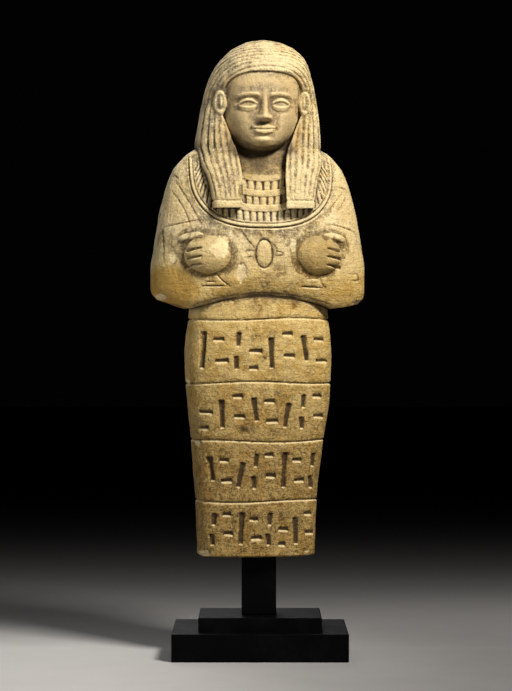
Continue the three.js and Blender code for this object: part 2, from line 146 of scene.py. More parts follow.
def ripple(points, wavelength, seed):
    """A smooth random field in about -1 to 1, the sum of plane waves in random directions."""
    waves = 14
    rng = np.random.default_rng(seed)
    direction = rng.normal(size=(waves, 3))
    direction *= (2 * np.pi / wavelength * rng.uniform(0.7, 1.4, (waves, 1))
                  / np.linalg.norm(direction, axis=1, keepdims=True))
    phase = rng.uniform(0, 2 * np.pi, waves)
    return np.sin(points @ direction.T + phase).sum(axis=1) / math.sqrt(waves / 2) / 1.6


# -------- the figure's sizes, in millimetres

LEGS = Sizes(
    top=114, squareness=2.8, edge=0.9, sway=-0.9,
    width=profile((0, 25.5), (24, 26.4), (50, 28.8), (66, 30.7), (84, 31.8), (94, 31.4), (102, 30.4),
                  (114, 29.4)),
    front=profile((0, 15), (24, 15.8), (50, 17.3), (80, 18.7), (100, 19.1), (108, 19.1), (114, 18)),
    back=profile((0, 14.5), (24, 15), (50, 16.2), (80, 17), (114, 16)),
)
TORSO = Sizes(
    bottom=107, top=177, squareness=2.5, arch_lift=5, arch_half=30, arch_fade=16,
    elbow=31, elbow_lift=(0.3, 0.16),
    width=profile((107, 44), (109, 46.1), (113, 46.8), (122, 46.8), (134, 45.2), (150, 42.5), (160, 39.9),
                  (167, 37.2), (171, 34), (174, 31), (177, 26)),
    front=profile((107, 18.6), (109, 19.9), (113, 21.4), (120, 22.8), (128, 23.1), (140, 22.3), (150, 21),
                  (158, 19), (164, 16.8), (170, 13.5), (177, 8)),
    back=profile((107, 15.5), (109, 17), (113, 18.2), (125, 19.2), (140, 19.6), (155, 18.6), (165, 16),
                 (172, 12.5), (177, 9)),
)
WIG = Sizes(
    bottom=150, top=224, squareness=2.2,
    width=profile((150, 22.5), (160, 24.5), (170, 27), (178, 27.6), (186, 26.6), (194, 25.5), (200, 24.3),
                  (207, 22.3), (212, 20.3), (215, 18.6), (218, 15.8), (220.5, 12.4), (222.6, 8), (223.6, 4.6),
                  (224, 1.2)),
    front=profile((150, 9), (176, 9.5), (190, 10), (196, 11.5), (200, 14), (203, 17), (206, 18.9),
                  (208.5, 19.4), (212, 18.9), (215.5, 16.6), (218.5, 13.6), (221, 10), (222.8, 6.6),
                  (224, 1)),
    back=profile((150, 21.6), (156, 22.3), (170, 22), (186, 22.3), (200, 22), (208.5, 20.2), (213, 17.8),
                 (217, 14.7), (220.5, 10.6), (222.8, 6.6), (224, 1)),
)
WINDOW = Sizes(half=17.3, springing=199, rise=9.5, back=-11, squareness=2.5)
STRAND = Sizes(pitch=2.6, rise=1.18, depth=0.68, round=2.4)
HEAD = Sizes(
    low=174.4, high=214, chin=176, hairline=208.5, back=8, squareness=(2.35, 3), lean=0.04,
    width=profile((174.4, 3), (175.2, 6.4), (176.5, 9.2), (178.5, 11.8), (181.5, 14.2), (185, 16),
                  (190, 17.2), (196, 17.7), (202, 17.2), (208, 16), (214, 12.5)),
    front=profile((174.4, 12), (175.2, 15.6), (176.5, 17.8), (179, 19.1), (183, 19.5), (190, 19.3),
                  (197, 19.2), (203, 19), (208, 18.2), (214, 14.5)),
)
NECK = Sizes(bottom=158, top=180, width=10.6, front=12, back=6, flare=3)
LAPPET = Sizes(
    end=148.8, top=204, band=3.9, strands=6, front_share=0.78,
    inmost=profile((149, 9.3), (172, 10.4), (197, 14.5)),
    inner=profile((149, 9.2), (162, 9.2), (169, 9.8), (176, 11.4), (183, 14), (190, 16.5), (197, 18),
                  (204, 19)),
    outer=profile((149, 21.8), (156, 22.4), (163, 24), (170, 26.4), (178, 27.4), (186, 26.6), (197, 24.6),
                  (204, 22.4)),
    front=profile((149, 26), (156, 25.2), (163, 22.6), (170, 18.8), (178, 14.6), (186, 11.6), (192, 10),
                  (197, 8.4), (204, 6)),
    side=profile((149, 20), (163, 14), (170, 8), (178, 0), (197, 0)),
    squareness=profile((149, 5), (163, 4), (172, 2.6), (178, 2.1), (197, 2)),
)
EAR = Sizes(x=18.5, y=-9.4, z=195.5, radius=(1.9, 3.3, 5.8), splay=48)
FIST = Sizes(x=23.8, z=129.6, depth=19.2, radius=(10.2, 6.3, 8.6), fingers=(132.2, 128.6, 125), turn=10)
THUMB = Sizes(x=31, z=137.2, depth=18.4, length=12.6, radius=1.9, droop=10, turn=32)
COLLAR = Sizes(centre=168, rim=(27, 25), edge=4, rows=((24.2, 20.1), (17, 13.7), (10.6, 7)), pitch=2.75)
BAND_LINES = (102.2, 75, 49.9, 24)
LEGS_CARVED_TO = 108


def lean(z):
    """How far the head has leant to the side at a height, most of all at its crown."""
    return np.maximum(0, z - HEAD.chin) * HEAD.lean + smooth(z, 206, 224) * 0.9


# -------- meshes in code


def deselect_all():
    if bpy.context.object and bpy.context.object.mode != "OBJECT":
        bpy.ops.object.mode_set(mode="OBJECT")
    bpy.ops.object.select_all(action="DESELECT")


def activate(piece):
    deselect_all()
    piece.select_set(True)
    bpy.context.view_layer.objects.active = piece


@contextmanager
def editing(piece):
    """Edit mode on one piece, for as long as the block of code lasts."""
    activate(piece)
    bpy.ops.object.mode_set(mode="EDIT")
    yield
    bpy.ops.object.mode_set(mode="OBJECT")


def read(items, field, width, kind=np.float32):
    """One field of all the items of a mesh, with a row to each."""
    flat = np.empty(len(items) * width, kind)
    items.foreach_get(field, flat)
    return flat.reshape(-1, width)


def points_of(piece):
    return read(piece.data.vertices, "co", 3).astype(float)


def normals_of(piece):
    return read(piece.data.vertex_normals, "vector", 3).astype(float)


def move_points(piece, points):
    piece.data.vertices.foreach_set("co", np.ascontiguousarray(points, np.float32).ravel())
    piece.data.update()


def apply_modifier(piece, kind, **settings):
    activate(piece)
    modifier = piece.modifiers.new(kind.title(), kind)
    for name, value in settings.items():
        setattr(modifier, name, value)
    bpy.ops.object.modifier_apply(modifier=modifier.name)


def drop_crumbs(piece):
    """Deletes every bit that isn't joined to the body with the highest point."""
    with editing(piece):
        bpy.ops.mesh.select_all(action="DESELECT")
    piece.data.vertices[int(points_of(piece)[:, 2].argmax())].select = True
    with editing(piece):
        bpy.ops.mesh.select_linked()
        bpy.ops.mesh.select_all(action="INVERT")
        bpy.ops.mesh.delete(type="VERT")


def wrapped(name, grid):
    """A sheet wrapped round a form: its rows go onto the rings of a grid, from the lowest up."""
    rings, columns = grid.shape[0] - 1, grid.shape[1]
    deselect_all()
    bpy.ops.mesh.primitive_grid_add(x_subdivisions=columns, y_subdivisions=rings, size=2)
    piece = bpy.context.object
    piece.name = name
    sheet = points_of(piece)
    ring = np.rint((sheet[:, 1] + 1) / 2 * rings).astype(int)
    column = np.rint((sheet[:, 0] + 1) / 2 * columns).astype(int) % columns
    move_points(piece, grid[ring, column])
    return piece


def loft(section, low, high, columns, rings, fine, ends=0.05):
    """A grid of points on horizontal sections, closed at both ends by flat caps."""
    columns, rings = round(columns * fine), round(rings * fine)
    share = np.linspace(0, 1, rings + 1)[:, None]
    angle = np.arange(columns)[None, :] / columns * 2 * np.pi
    height = low + (high - low) * np.clip((share - ends) / (1 - 2 * ends), 0, 1)
    z, angle = np.broadcast_arrays(height, angle)
    grid = np.stack([*section(z, angle), z], axis=2)
    reach = np.clip(np.minimum(share, 1 - share) / ends, 0, 1)[..., None]
    centre = grid.mean(axis=1, keepdims=True)
    return centre + (grid - centre) * reach


def grid_normals(grid):
    """Which way the skin faces at each point of a grid."""
    round_it = np.roll(grid, -1, axis=1) - np.roll(grid, 1, axis=1)
    normal = np.cross(round_it, np.gradient(grid, axis=0))
    return normal / np.maximum(np.linalg.norm(normal, axis=2, keepdims=True), 1e-9)


# -------- masses of the figure


def section_of(mass, inset=lambda z: 0):
    """The rounded section of a mass whose width, front and back are profiles over its height."""
    def section(z, angle):
        sizes = (size(z) - inset(z) for size in (mass.width, mass.front, mass.back))
        return superellipse(angle, *sizes, mass.squareness)
    return section


def legs_grid(fine):
    """The wrapped legs, with a broken edge at their underside."""
    def inset(z):
        return LEGS.edge * (1 - np.sqrt(1 - np.clip(1 - z / LEGS.edge, 0, 1) ** 2))
    grid = loft(section_of(LEGS, inset), 0, LEGS.top, 320, 260, fine)
    grid[..., 0] += LEGS.sway * smooth(grid[..., 2], 66, 22)
    return grid


def torso_grid(fine):
    """The chest and arms. Their lower edge arches up over the belly and rises towards the elbows."""
    grid = loft(section_of(TORSO), TORSO.bottom, TORSO.top, 440, 220, fine)
    x, y, z = np.moveaxis(grid, 2, 0)
    fade = 1 - smooth(z, TORSO.bottom, TORSO.bottom + TORSO.arch_fade)
    arch = np.maximum(0, 1 - (x / TORSO.arch_half) ** 2)
    grid[..., 2] += TORSO.arch_lift * fade * arch * smooth(y, 4, -4)
    slope = np.where(x < 0, *TORSO.elbow_lift)
    grid[..., 2] += slope * fade * np.maximum(0, np.abs(x) - TORSO.elbow)
    return grid


def strand_offset(across, up, half, rise):
    """How far outside the opening's arch a place is, where arches nest round the opening at equal steps."""
    power = STRAND.round

    def outside(offset):
        wide, tall = np.maximum(half + offset, 0.1), np.maximum(rise + offset, 0.1)
        return (across / wide) ** power + (np.maximum(up, 0) / tall) ** power > 1

    return halved(-8.0, 120.0, 26, outside)


def groove(distance, half_width, depth):
    """A cut with a rounded V section, at a distance from its line."""
    return depth * np.maximum(0, 1 - np.abs(distance) / half_width) ** 0.8


def rounded_strands(way, depth):
    """The section of strands side by side, one to each unit of way: round backs and narrow grooves."""
    off = np.abs(way % 1 - 0.5) * 2
    return depth * (0.22 * off ** 2 + 0.78 * smooth(off, 0.64, 1))


def wig_grid(fine):
    """The hair, with its strands arched over the face and an opening for it."""
    grid = loft(section_of(WIG), WIG.bottom, WIG.top, 520, 330, fine, ends=0.02)
    x, y, z = np.moveaxis(grid, 2, 0)

    # Chart of the hair: the way round from the middle of the front, and the way up from the springing.
    ring = np.argmin(np.abs(z[:, 0] - WINDOW.springing))
    columns = grid.shape[1]
    front = round(columns * 0.75)
    step = np.linalg.norm(np.roll(grid[ring], -1, axis=0) - grid[ring], axis=1)
    way = np.cumsum(np.roll(step, -front)) - step[front]
    way = np.roll(np.minimum(way, step.sum() - way), front)
    edge = np.interp(WINDOW.half, *zip(*sorted(
        (abs(x[ring, c]), way[c]) for c in range(columns) if y[ring, c] < 0)))
    across = np.where(way < edge, way * WINDOW.half / edge, WINDOW.half + way - edge)[None, :]
    rise = np.linalg.norm(np.diff(grid, axis=0, prepend=grid[:1]), axis=2)
    rise[: ring + 1] = 0
    up = np.cumsum(rise, axis=0) * STRAND.rise
    hairline = np.interp(WINDOW.springing + WINDOW.rise, z[ring:, front], up[ring:, front])
    offset = strand_offset(across, up, WINDOW.half, hairline)

    crown = np.clip(smooth(np.hypot(x, y - 2), 2, 9) + smooth(y, -1, -6), 0, 1)
    worn = 0.85 + 0.25 * ripple(grid.reshape(-1, 3), 14, 3).reshape(z.shape)
    cut = rounded_strands(offset / STRAND.pitch, STRAND.depth) * crown * worn
    cut *= smooth(offset, -0.3, 0.6)
    cut += groove(z - (WIG.bottom + 3), 0.5, 0.5) * smooth(y, 6, 10)
    grid -= grid_normals(grid) * cut[..., None]

    # The face looks out of an arch that is cut back into the hair.
    x, y, z = np.moveaxis(grid, 2, 0)
    power = WINDOW.squareness
    norm = ((np.abs(x) / WINDOW.half) ** power
            + (np.maximum(0, z - WINDOW.springing) / WINDOW.rise) ** power) ** (1 / power)
    inside = smooth((1 - norm) * 12, -0.1, 0.7)
    grid[..., 1] = np.where(y < WINDOW.back, y + (WINDOW.back - y) * inside, y)
    grid[..., 0] += lean(grid[..., 2])
    return grid


def lappet_grid(side, fine):
    """One front fall of hair, ending in a band, with its strands set off from its inner edge."""
    share_front = LAPPET.front_share

    def section(z, angle):
        t = angle / (2 * np.pi)
        inner, outer, front, edge = LAPPET.inner(z), LAPPET.outer(z), LAPPET.front(z), LAPPET.side(z)
        power = 2 / LAPPET.squareness(z)
        turn = np.clip(t / share_front, 0, 1) * np.pi / 2
        x = inner + (outer - inner) * np.sin(turn) ** power
        y = -edge - (front - edge) * np.cos(turn) ** power
        behind = np.clip((t - share_front) / (1 - share_front), 0, 1)
        x = np.where(behind > 0, outer + (inner + 1 - outer) * smooth(behind, 0.1, 0.9), x)
        y = np.where(behind > 0, -edge + (2 + edge) * np.minimum(behind / 0.15, 1)
                     - (2 + front) * np.maximum(0, (behind - 0.9) / 0.1), y)
        return x, y

    grid = loft(section, LAPPET.end, LAPPET.top, 240, 200, fine, ends=0.03)
    x, z = grid[..., 0], grid[..., 2]
    columns = grid.shape[1]
    on_front = (np.arange(columns) / columns < share_front)[None, :]
    inmost = LAPPET.inmost(z)
    way = (x - inmost) / (LAPPET.outer(z) - inmost) * LAPPET.strands - 0.5
    band = LAPPET.end + LAPPET.band
    worn = 0.9 + 0.2 * ripple(grid.reshape(-1, 3), 11, 5).reshape(z.shape)
    cut = rounded_strands(way, STRAND.depth) * worn * smooth(z, band + 0.2, band + 1)
    cut = np.where(on_front, cut, 0)
    cut += np.where(on_front, groove(z - band, 0.55, 0.6), 0)
    cut += smooth(z, LAPPET.end + 1, LAPPET.end) + 2.2 * smooth(z, LAPPET.top - 11, LAPPET.top)
    grid -= grid_normals(grid) * cut[..., None]
    grid[..., 0] = side * grid[..., 0] + lean(z)
    return grid if side > 0 else grid[:, ::-1]


def face_relief(x, z):
    """Height of the features over the plain oval of the face. The thirds of the face set them all out."""
    third = (HEAD.hairline - HEAD.chin) / 3
    brow, nose_base = HEAD.hairline - third, HEAD.chin + third
    eye, mouth = brow - 0.34 * third, nose_base - third / 3
    side = np.abs(x)

    down = np.clip((brow - z) / (brow - nose_base - 1), 0, 1)
    ridge = (0.9 + 3.7 * down ** 1.1) * smooth(z, nose_base - 0.5, nose_base + 1.3)
    ridge = np.where(z > brow, 0.9 * hill(z - brow, 2.6), ridge)
    nose = ridge * hill(side, 1.45 + 0.95 * down, 2.6)
    nose += 0.6 * bump(x, z, 0, nose_base + 1.8, 1.7, 1.3)
    nose += 1.5 * bump(side, z, 2.6, nose_base + 1.4, 1.05, 1.15)

    arch = brow + 0.9 - 0.03 * (side - 6.2) ** 2
    brows = 0.55 * hill(z - arch, 0.75, 4) + 0.4 * hill(z - arch, 2.4)
    brows = brows * smooth(side, 1.6, 3) * smooth(side, 13, 11)

    along = np.clip((side - 7.1) / 4, -1.2, 1.2)
    open_eye = np.maximum(0, 1 - along ** 2)
    upper, lower = eye + 1.5 * open_eye, eye - 1.05 * open_eye
    corners = smooth(np.abs(along), 1.12, 0.85)
    socket = -1.7 * bump(side, z, 6.8, eye + 0.4, 5, 2.9) - 0.7 * bump(side, z, 3.1, eye + 0.4, 1.5, 2.4)
    ball = 1.7 * np.sqrt(np.maximum(0, 1 - ((side - 7.1) / 4.4) ** 2 - ((z - eye - 0.1) / 3) ** 2))
    lids = (0.5 * hill(z - upper - 0.35, 0.42, 4) + 0.35 * hill(z - lower + 0.3, 0.38, 4)) * corners
    lines = -0.3 * hill(z - upper + 0.35, 0.3) * corners
    tail = 0.35 * hill(z - eye - 0.1, 0.5, 4) * smooth(side, 10.2, 11) * smooth(side, 13.6, 12.6)
    crease = -0.35 * hill(z - upper - 1.25, 0.36) * smooth(np.abs(along), 1.1, 0.7)

    lips = 1.2 * bump(x, z, 0, mouth - 0.2, 6.4, 3.7)
    bow = mouth + 1.8 - 0.035 * side ** 2 - 0.35 * hill(x, 0.9)
    lips += (0.85 * smooth(z, bow + 0.35, bow - 0.35) * smooth(z, mouth - 0.4, mouth + 0.3)
             * smooth(side, 5.4, 4))
    under = mouth - 1.95 + 0.05 * side ** 2
    lips += (smooth(z, under - 0.4, under + 0.5) * smooth(z, mouth + 0.3, mouth - 0.4)
             * smooth(side, 5, 3.2))
    parting = mouth + 0.02 * x ** 2
    lips -= 0.8 * hill(z - parting, 0.3) * smooth(side, 5.4, 4.4)
    lips -= 0.4 * bump(side, z, 5.4, mouth + 0.5, 0.7, 0.8)
    lips -= 0.5 * bump(x, z, 0, mouth - 2.9, 3.4, 0.8)
    lips -= 0.3 * bump(x, z, 0, nose_base - 1.3, 0.7, 1)

    chin = 1.4 * bump(x, z, 0, HEAD.chin + 2.6, 4, 2.1)
    cheeks = 0.9 * bump(side, z, 9.4, nose_base + 2.8, 4.2, 4.4)
    return nose + brows + socket + ball + lids + lines + tail + crease + lips + chin + cheeks


def head_grid(fine):
    """The head with its face. Its columns stand closer together in front, where the features are."""
    def section(z, angle):
        # out is 0 at the back, and -1 and 1 in front.
        out = ((angle / (2 * np.pi) + 0.25) % 1) * 2 - 1
        bunched = np.pi / 2 + np.pi * (out - 0.16 * np.sin(np.pi * out))
        low, high = HEAD.squareness
        squareness = low + (high - low) * smooth(z, 194, 206)
        x, y = superellipse(bunched, HEAD.width(z), HEAD.front(z), HEAD.back, squareness)
        return x, y - face_relief(x, z) * smooth(y, -2, -10)
    grid = loft(section, HEAD.low, HEAD.high, 420, 300, fine, ends=0.03)
    grid[..., 0] += lean(grid[..., 2])
    return grid


def neck_grid(fine):
    """The throat under the chin, wider towards the chest."""
    def section(z, angle):
        front = NECK.front + NECK.flare * smooth(z, 168, NECK.bottom)
        return superellipse(angle, NECK.width, front, NECK.back, 2.1)
    return loft(section, NECK.bottom, NECK.top, 140, 80, fine)


def ellipsoid(name, radius, place, turns, fine):
    """A ball, scaled and turned about X, Y and Z in degrees."""
    deselect_all()
    bpy.ops.mesh.primitive_uv_sphere_add(segments=round(96 * fine), ring_count=round(64 * fine), radius=1)
    piece = bpy.context.object
    piece.name = name
    piece.scale = radius
    piece.rotation_euler = [math.radians(t) for t in turns]
    piece.location = place
    bpy.ops.object.transform_apply(location=True, rotation=True, scale=True)
    return piece


def fist(side, fine):
    """A closed hand seen from its back: a flat pebble, fuller towards the fingers."""
    piece = ellipsoid("fist", (1, 1, 1), (0, 0, 0), (0, 0, 0), fine)
    x, y, z = points_of(piece).T
    flat = np.sign(y) * np.maximum(0, 1 - np.hypot(x, z) ** 2.4) ** (1 / 2.1)
    y = flat * (1 + 0.1 * side * x)
    width, thick, height = FIST.radius
    x, y, z = x * width, y * thick, z * height * (1 - 0.05 * side * x)
    placed = np.stack([*turned(x, y, side * math.radians(FIST.turn)), z], axis=1)
    move_points(piece, placed + (side * FIST.x, -FIST.depth, FIST.z))
    return piece


def figure_masses(fine):
    """Every mass of the figure, the legs first."""
    yield wrapped("legs", legs_grid(fine))
    yield wrapped("torso", torso_grid(fine))
    yield wrapped("wig", wig_grid(fine))
    yield wrapped("head", head_grid(fine))
    yield wrapped("neck", neck_grid(fine))
    for side in (1, -1):
        yield wrapped("lappet", lappet_grid(side, fine))
        yield fist(side, fine)
        yield ellipsoid("thumb", (THUMB.length / 2, THUMB.radius, THUMB.radius),
                        (side * THUMB.x, -THUMB.depth, THUMB.z),
                        (0, side * THUMB.droop, side * THUMB.turn), fine)
        yield ellipsoid("ear", EAR.radius, (side * EAR.x + lean(EAR.z), EAR.y, EAR.z),
                        (0, 0, -side * EAR.splay), fine)


def join(name, pieces):
    """Makes one piece of several."""
    pieces = list(pieces)
    deselect_all()
    for piece in pieces:
        piece.select_set(True)
    bpy.context.view_layer.objects.active = pieces[0]
    bpy.ops.object.join()
    pieces[0].name = name
    return pieces[0]


# -------- carving into the joined skin


def torso_front(x, z):
    """How far forward the bare chest is."""
    width, power = TORSO.width(z), TORSO.squareness
    return -TORSO.front(z) * np.maximum(0, 1 - np.abs(x / width) ** power) ** (1 / power)


def line_cut(x, z, path, width, depth):
    """Depth of a cut along a path of (x, z) points. It narrows and gets shallower towards both ends."""
    low, high = path.min(axis=0) - width, path.max(axis=0) + width
    near = np.flatnonzero((x > low[0]) & (x < high[0]) & (z > low[1]) & (z < high[1]))
    px, pz = x[near], z[near]
    lengths = np.linalg.norm(np.diff(path, axis=0), axis=1)
    starts, total = np.r_[0, np.cumsum(lengths)], lengths.sum()
    best, where = np.full(len(near), 1e9), np.zeros(len(near))
    for (ax, az), (bx, bz), length, start in zip(path, path[1:], lengths, starts):
        t = np.clip(((px - ax) * (bx - ax) + (pz - az) * (bz - az)) / length ** 2, 0, 1)
        distance = np.hypot(px - ax - t * (bx - ax), pz - az - t * (bz - az))
        closer = distance < best
        best, where = np.where(closer, distance, best), np.where(closer, start + t * length, where)
    end = np.minimum(where, total - where) / (total / 2)
    strength = 0.5 + 0.5 * np.clip(end * 2.2, 0, 1)
    cut = np.zeros(len(x))
    cut[near] = depth * strength * np.maximum(0, 1 - best / (width / 2 * strength)) ** 0.8
    return cut


def gouge(x, z, start, end, wide, narrow, depth):
    """Depth of a chiselled stroke with blunt ends, a steep upper wall and a long lower one."""
    (ax, az), (bx, bz) = start, end
    length = math.hypot(bx - ax, bz - az)
    t = ((x - ax) * (bx - ax) + (z - az) * (bz - az)) / length ** 2
    off = ((x - ax) * (bz - az) - (z - az) * (bx - ax)) / length * math.copysign(1, ax - bx)
    half = (wide + (narrow - wide) * np.clip(t, 0, 1)) / 2
    ends = smooth(np.minimum(t, 1 - t) * length / 0.7, 0, 1)
    share = np.clip((1 - off / half) / 2, 0, 1)
    wall = np.minimum(share / 0.66, (1 - share) / 0.34)
    return depth * ends * np.clip(wall, 0, 1) ** 0.8


def arc(*points):
    """A smooth path through a few points."""
    steps = 8
    points = np.array(points, float)
    keys = np.arange(len(points))
    fine = np.linspace(0, len(points) - 1, steps * (len(points) - 1) + 1)
    if len(points) < 3:
        return np.stack([np.interp(fine, keys, points[:, k]) for k in (0, 1)], axis=1)
    ends = np.vstack([2 * points[0] - points[1], points, 2 * points[-1] - points[-2]])
    i = np.minimum(fine.astype(int), len(points) - 2)
    t = (fine - i)[:, None]
    a, b, c, d = ends[i], ends[i + 1], ends[i + 2], ends[i + 3]
    return 0.5 * (2 * b + (c - a) * t + (2 * a - 5 * b + 4 * c - d) * t ** 2
                  + (3 * b - a - 3 * c + d) * t ** 3)


def collar_chart(x, z):
    """The drop of the collar curve through each place, and how far along the row the place is."""
    fall = np.maximum(COLLAR.centre - z, 0)

    def half_width(drop):
        return 9.5 + 0.8 * drop

    def outside(drop):
        power = 2 + 0.6 * np.clip((drop - 11) / 14, 0, 1)
        return (np.abs(x) / half_width(drop)) ** power + (fall / drop) ** power > 1

    drop = halved(0.5, 34.0, 22, outside)
    angle = np.arctan2(np.abs(x) / half_width(drop), fall / drop)
    return drop, angle * (0.52 * half_width(drop) + 0.52 * drop)


def collar_cut(x, z):
    """Depth of the beaded collar: two rim lines, and three rows of beads set off by half from row to row."""
    drop, way = collar_chart(x, z)
    rim_low, rim_high = COLLAR.rim
    cut = groove(drop - rim_low, 0.6, 0.75) + groove(drop - rim_high, 0.5, 0.6)
    cut -= 0.35 * smooth(np.abs(drop - (rim_low + rim_high) / 2), 0.9, 0.2)
    for number, (bottom, top) in enumerate(COLLAR.rows):
        in_row = smooth(drop, top - 0.35, top + 0.1) * smooth(drop, bottom + 0.35, bottom - 0.1)
        from_line = (way / COLLAR.pitch + 0.5 * (number != 1)) % 1 - 0.5
        bead = np.clip(np.abs(from_line) * 2, 0, 1)
        middle = (drop - (top + bottom) / 2) / (bottom - top) * 2
        cut += in_row * (0.95 - 0.75 * smooth(bead, 0.1, 0.5) * (1 - 0.35 * middle ** 4))
    cut -= 0.2 * smooth(drop, COLLAR.edge - 0.3, COLLAR.edge + 0.3)
    fade_top = smooth(z, COLLAR.centre + 6, COLLAR.centre + 1)
    return np.where(drop < rim_low + 1, cut, 0) * fade_top


# Fine lines on the chest and arms: a path of (x, z) points, width and depth.
TOOL_LINES = (
    # The handles of two hoes and the cord of a bag, cut lightly over the shoulders and upper arms.
    (((-38.5, 157.7), (-33.8, 149.5), (-30.4, 139.7)), 0.9, 0.4),
    (((-36.6, 161.3), (-30.4, 150.2), (-26.5, 142.3)), 0.9, 0.4),
    (((-42.2, 141.6), (-34.8, 143.2), (-27, 144.6)), 0.9, 0.45),
    (((-42.4, 141.2), (-42.1, 126)), 0.8, 0.3),
    (((-39.4, 162.6), (-37.2, 164.3), (-35.6, 162.6)), 1.1, 0.35),
    (((35.5, 156.8), (31.2, 151.8), (27.8, 146.1)), 0.9, 0.35),
    (((37.2, 156.4), (35.4, 152), (32.7, 148.7)), 0.8, 0.3),
    (((33.4, 159.4), (37.5, 158.8)), 1.3, 0.45),
    (((27.8, 143.3), (34, 142.1), (41, 140.1)), 0.9, 0.5),
    (((27.8, 140.9), (34.2, 139.6)), 0.7, 0.3),
    (((38.6, 121.6), (42.2, 121.4), (42, 118.8), (38.4, 119)), 0.9, 0.4),
    # Cords and small loops beside the pendant, and the tools' blades below the fists.
    (((-10.1, 140.4), (-7.2, 136), (-4.2, 132.6)), 0.9, 0.45),
    (((2.1, 135.6), (4.4, 133.4), (5.6, 131)), 0.8, 0.4),
    (((-7.4, 131.2), (-4.4, 131.3)), 0.9, 0.4),
    (((-7.2, 128.6), (-4.6, 128.7)), 0.9, 0.4),
    (((4.6, 131.2), (7.4, 130.6), (8, 129.4), (5, 129.1)), 0.9, 0.45),
    (((-20.4, 121.2), (-17.6, 118.4), (-14.2, 116)), 1.0, 0.55),
    (((-24.6, 118), (-20.6, 118.1)), 1.0, 0.5),
    (((-26.8, 116.2), (-15.8, 116.3)), 1.2, 0.55),
    (((-22, 115), (-22, 113.2)), 0.8, 0.3),
    (((18, 119.4), (23.6, 119.4)), 0.9, 0.4),
    (((16.2, 116), (25.2, 115.6)), 1.4, 0.6),
    (((24, 120.4), (25.2, 117.6), (27, 115.2)), 0.8, 0.4),
)
PENDANT = Sizes(z=130, half_width=3.6, half_height=6.1)

# Strokes of the inscribed bands. Each kind of column holds a few, well apart, that make no sign together:
# (how far along the cell, how far up the band, half length as a share of cell or band, lean in degrees).
COLUMNS = (
    ((0, 0.05, 0.84, 3),),
    ((-0.1, 0.52, 0.36, 90), (0.08, -0.42, 0.42, 87)),
    ((0.04, 0.12, 0.6, -9),),
    ((0.05, 0.5, 0.34, 5), (-0.06, -0.52, 0.32, -4)),
    ((0.06, 0, 0.42, 92), (-0.06, -0.74, 0.3, 89)),
    ((0, -0.1, 0.7, -2),),
    ((-0.06, 0.76, 0.34, 88), (0.06, -0.2, 0.38, 91)),
    ((0, -0.16, 0.62, 11),),
)
INSCRIPTION = Sizes(columns=8, reach=0.92, height=0.72, order=(0, 1, 3, 4, 5, 6, 2, 1, 7, 3, 6), shift=3,
                    long=3.5, wide=3.1, narrow=2.7)


def inscription_strokes():
    """The ends of every stroke, band by band."""
    edges = (*BAND_LINES, 0)
    for row, (top, bottom) in enumerate(zip(edges, edges[1:])):
        middle, half_height = (top + bottom) / 2, INSCRIPTION.height * (top - bottom) / 2
        cell = 2 * INSCRIPTION.reach * float(LEGS.width(middle)) / INSCRIPTION.columns
        for column in range(INSCRIPTION.columns):
            kind = INSCRIPTION.order[(column + INSCRIPTION.shift * row) % len(INSCRIPTION.order)]
            for along, up, reach, tilt in COLUMNS[kind]:
                x = cell * (column + 0.5 + along - INSCRIPTION.columns / 2)
                z = middle + half_height * up
                across, rise = math.sin(math.radians(tilt)), math.cos(math.radians(tilt))
                half = reach * (cell if across > 0.7 else half_height)
                yield (x + half * across, z + half * rise), (x - half * across, z - half * rise)


def waist_edge(x):
    """Height of the forearms' lower edge where it crosses the body."""
    return TORSO.bottom + 0.6 + TORSO.arch_lift * np.maximum(0, 1 - (x / TORSO.arch_half) ** 2)


def from_fist(x, z, side, margin=0):
    """How far out each place lies from the middle of a fist, where 1 is its edge."""
    wide, _, tall = FIST.radius
    return np.hypot((x - side * FIST.x) / (wide + margin), (z - FIST.z) / (tall + margin))


def on_face(y, z, low):
    """Where the face is, from a height up."""
    return smooth(y, -9, -12) * smooth(z, low, low + 3) * smooth(z, 209, 206)


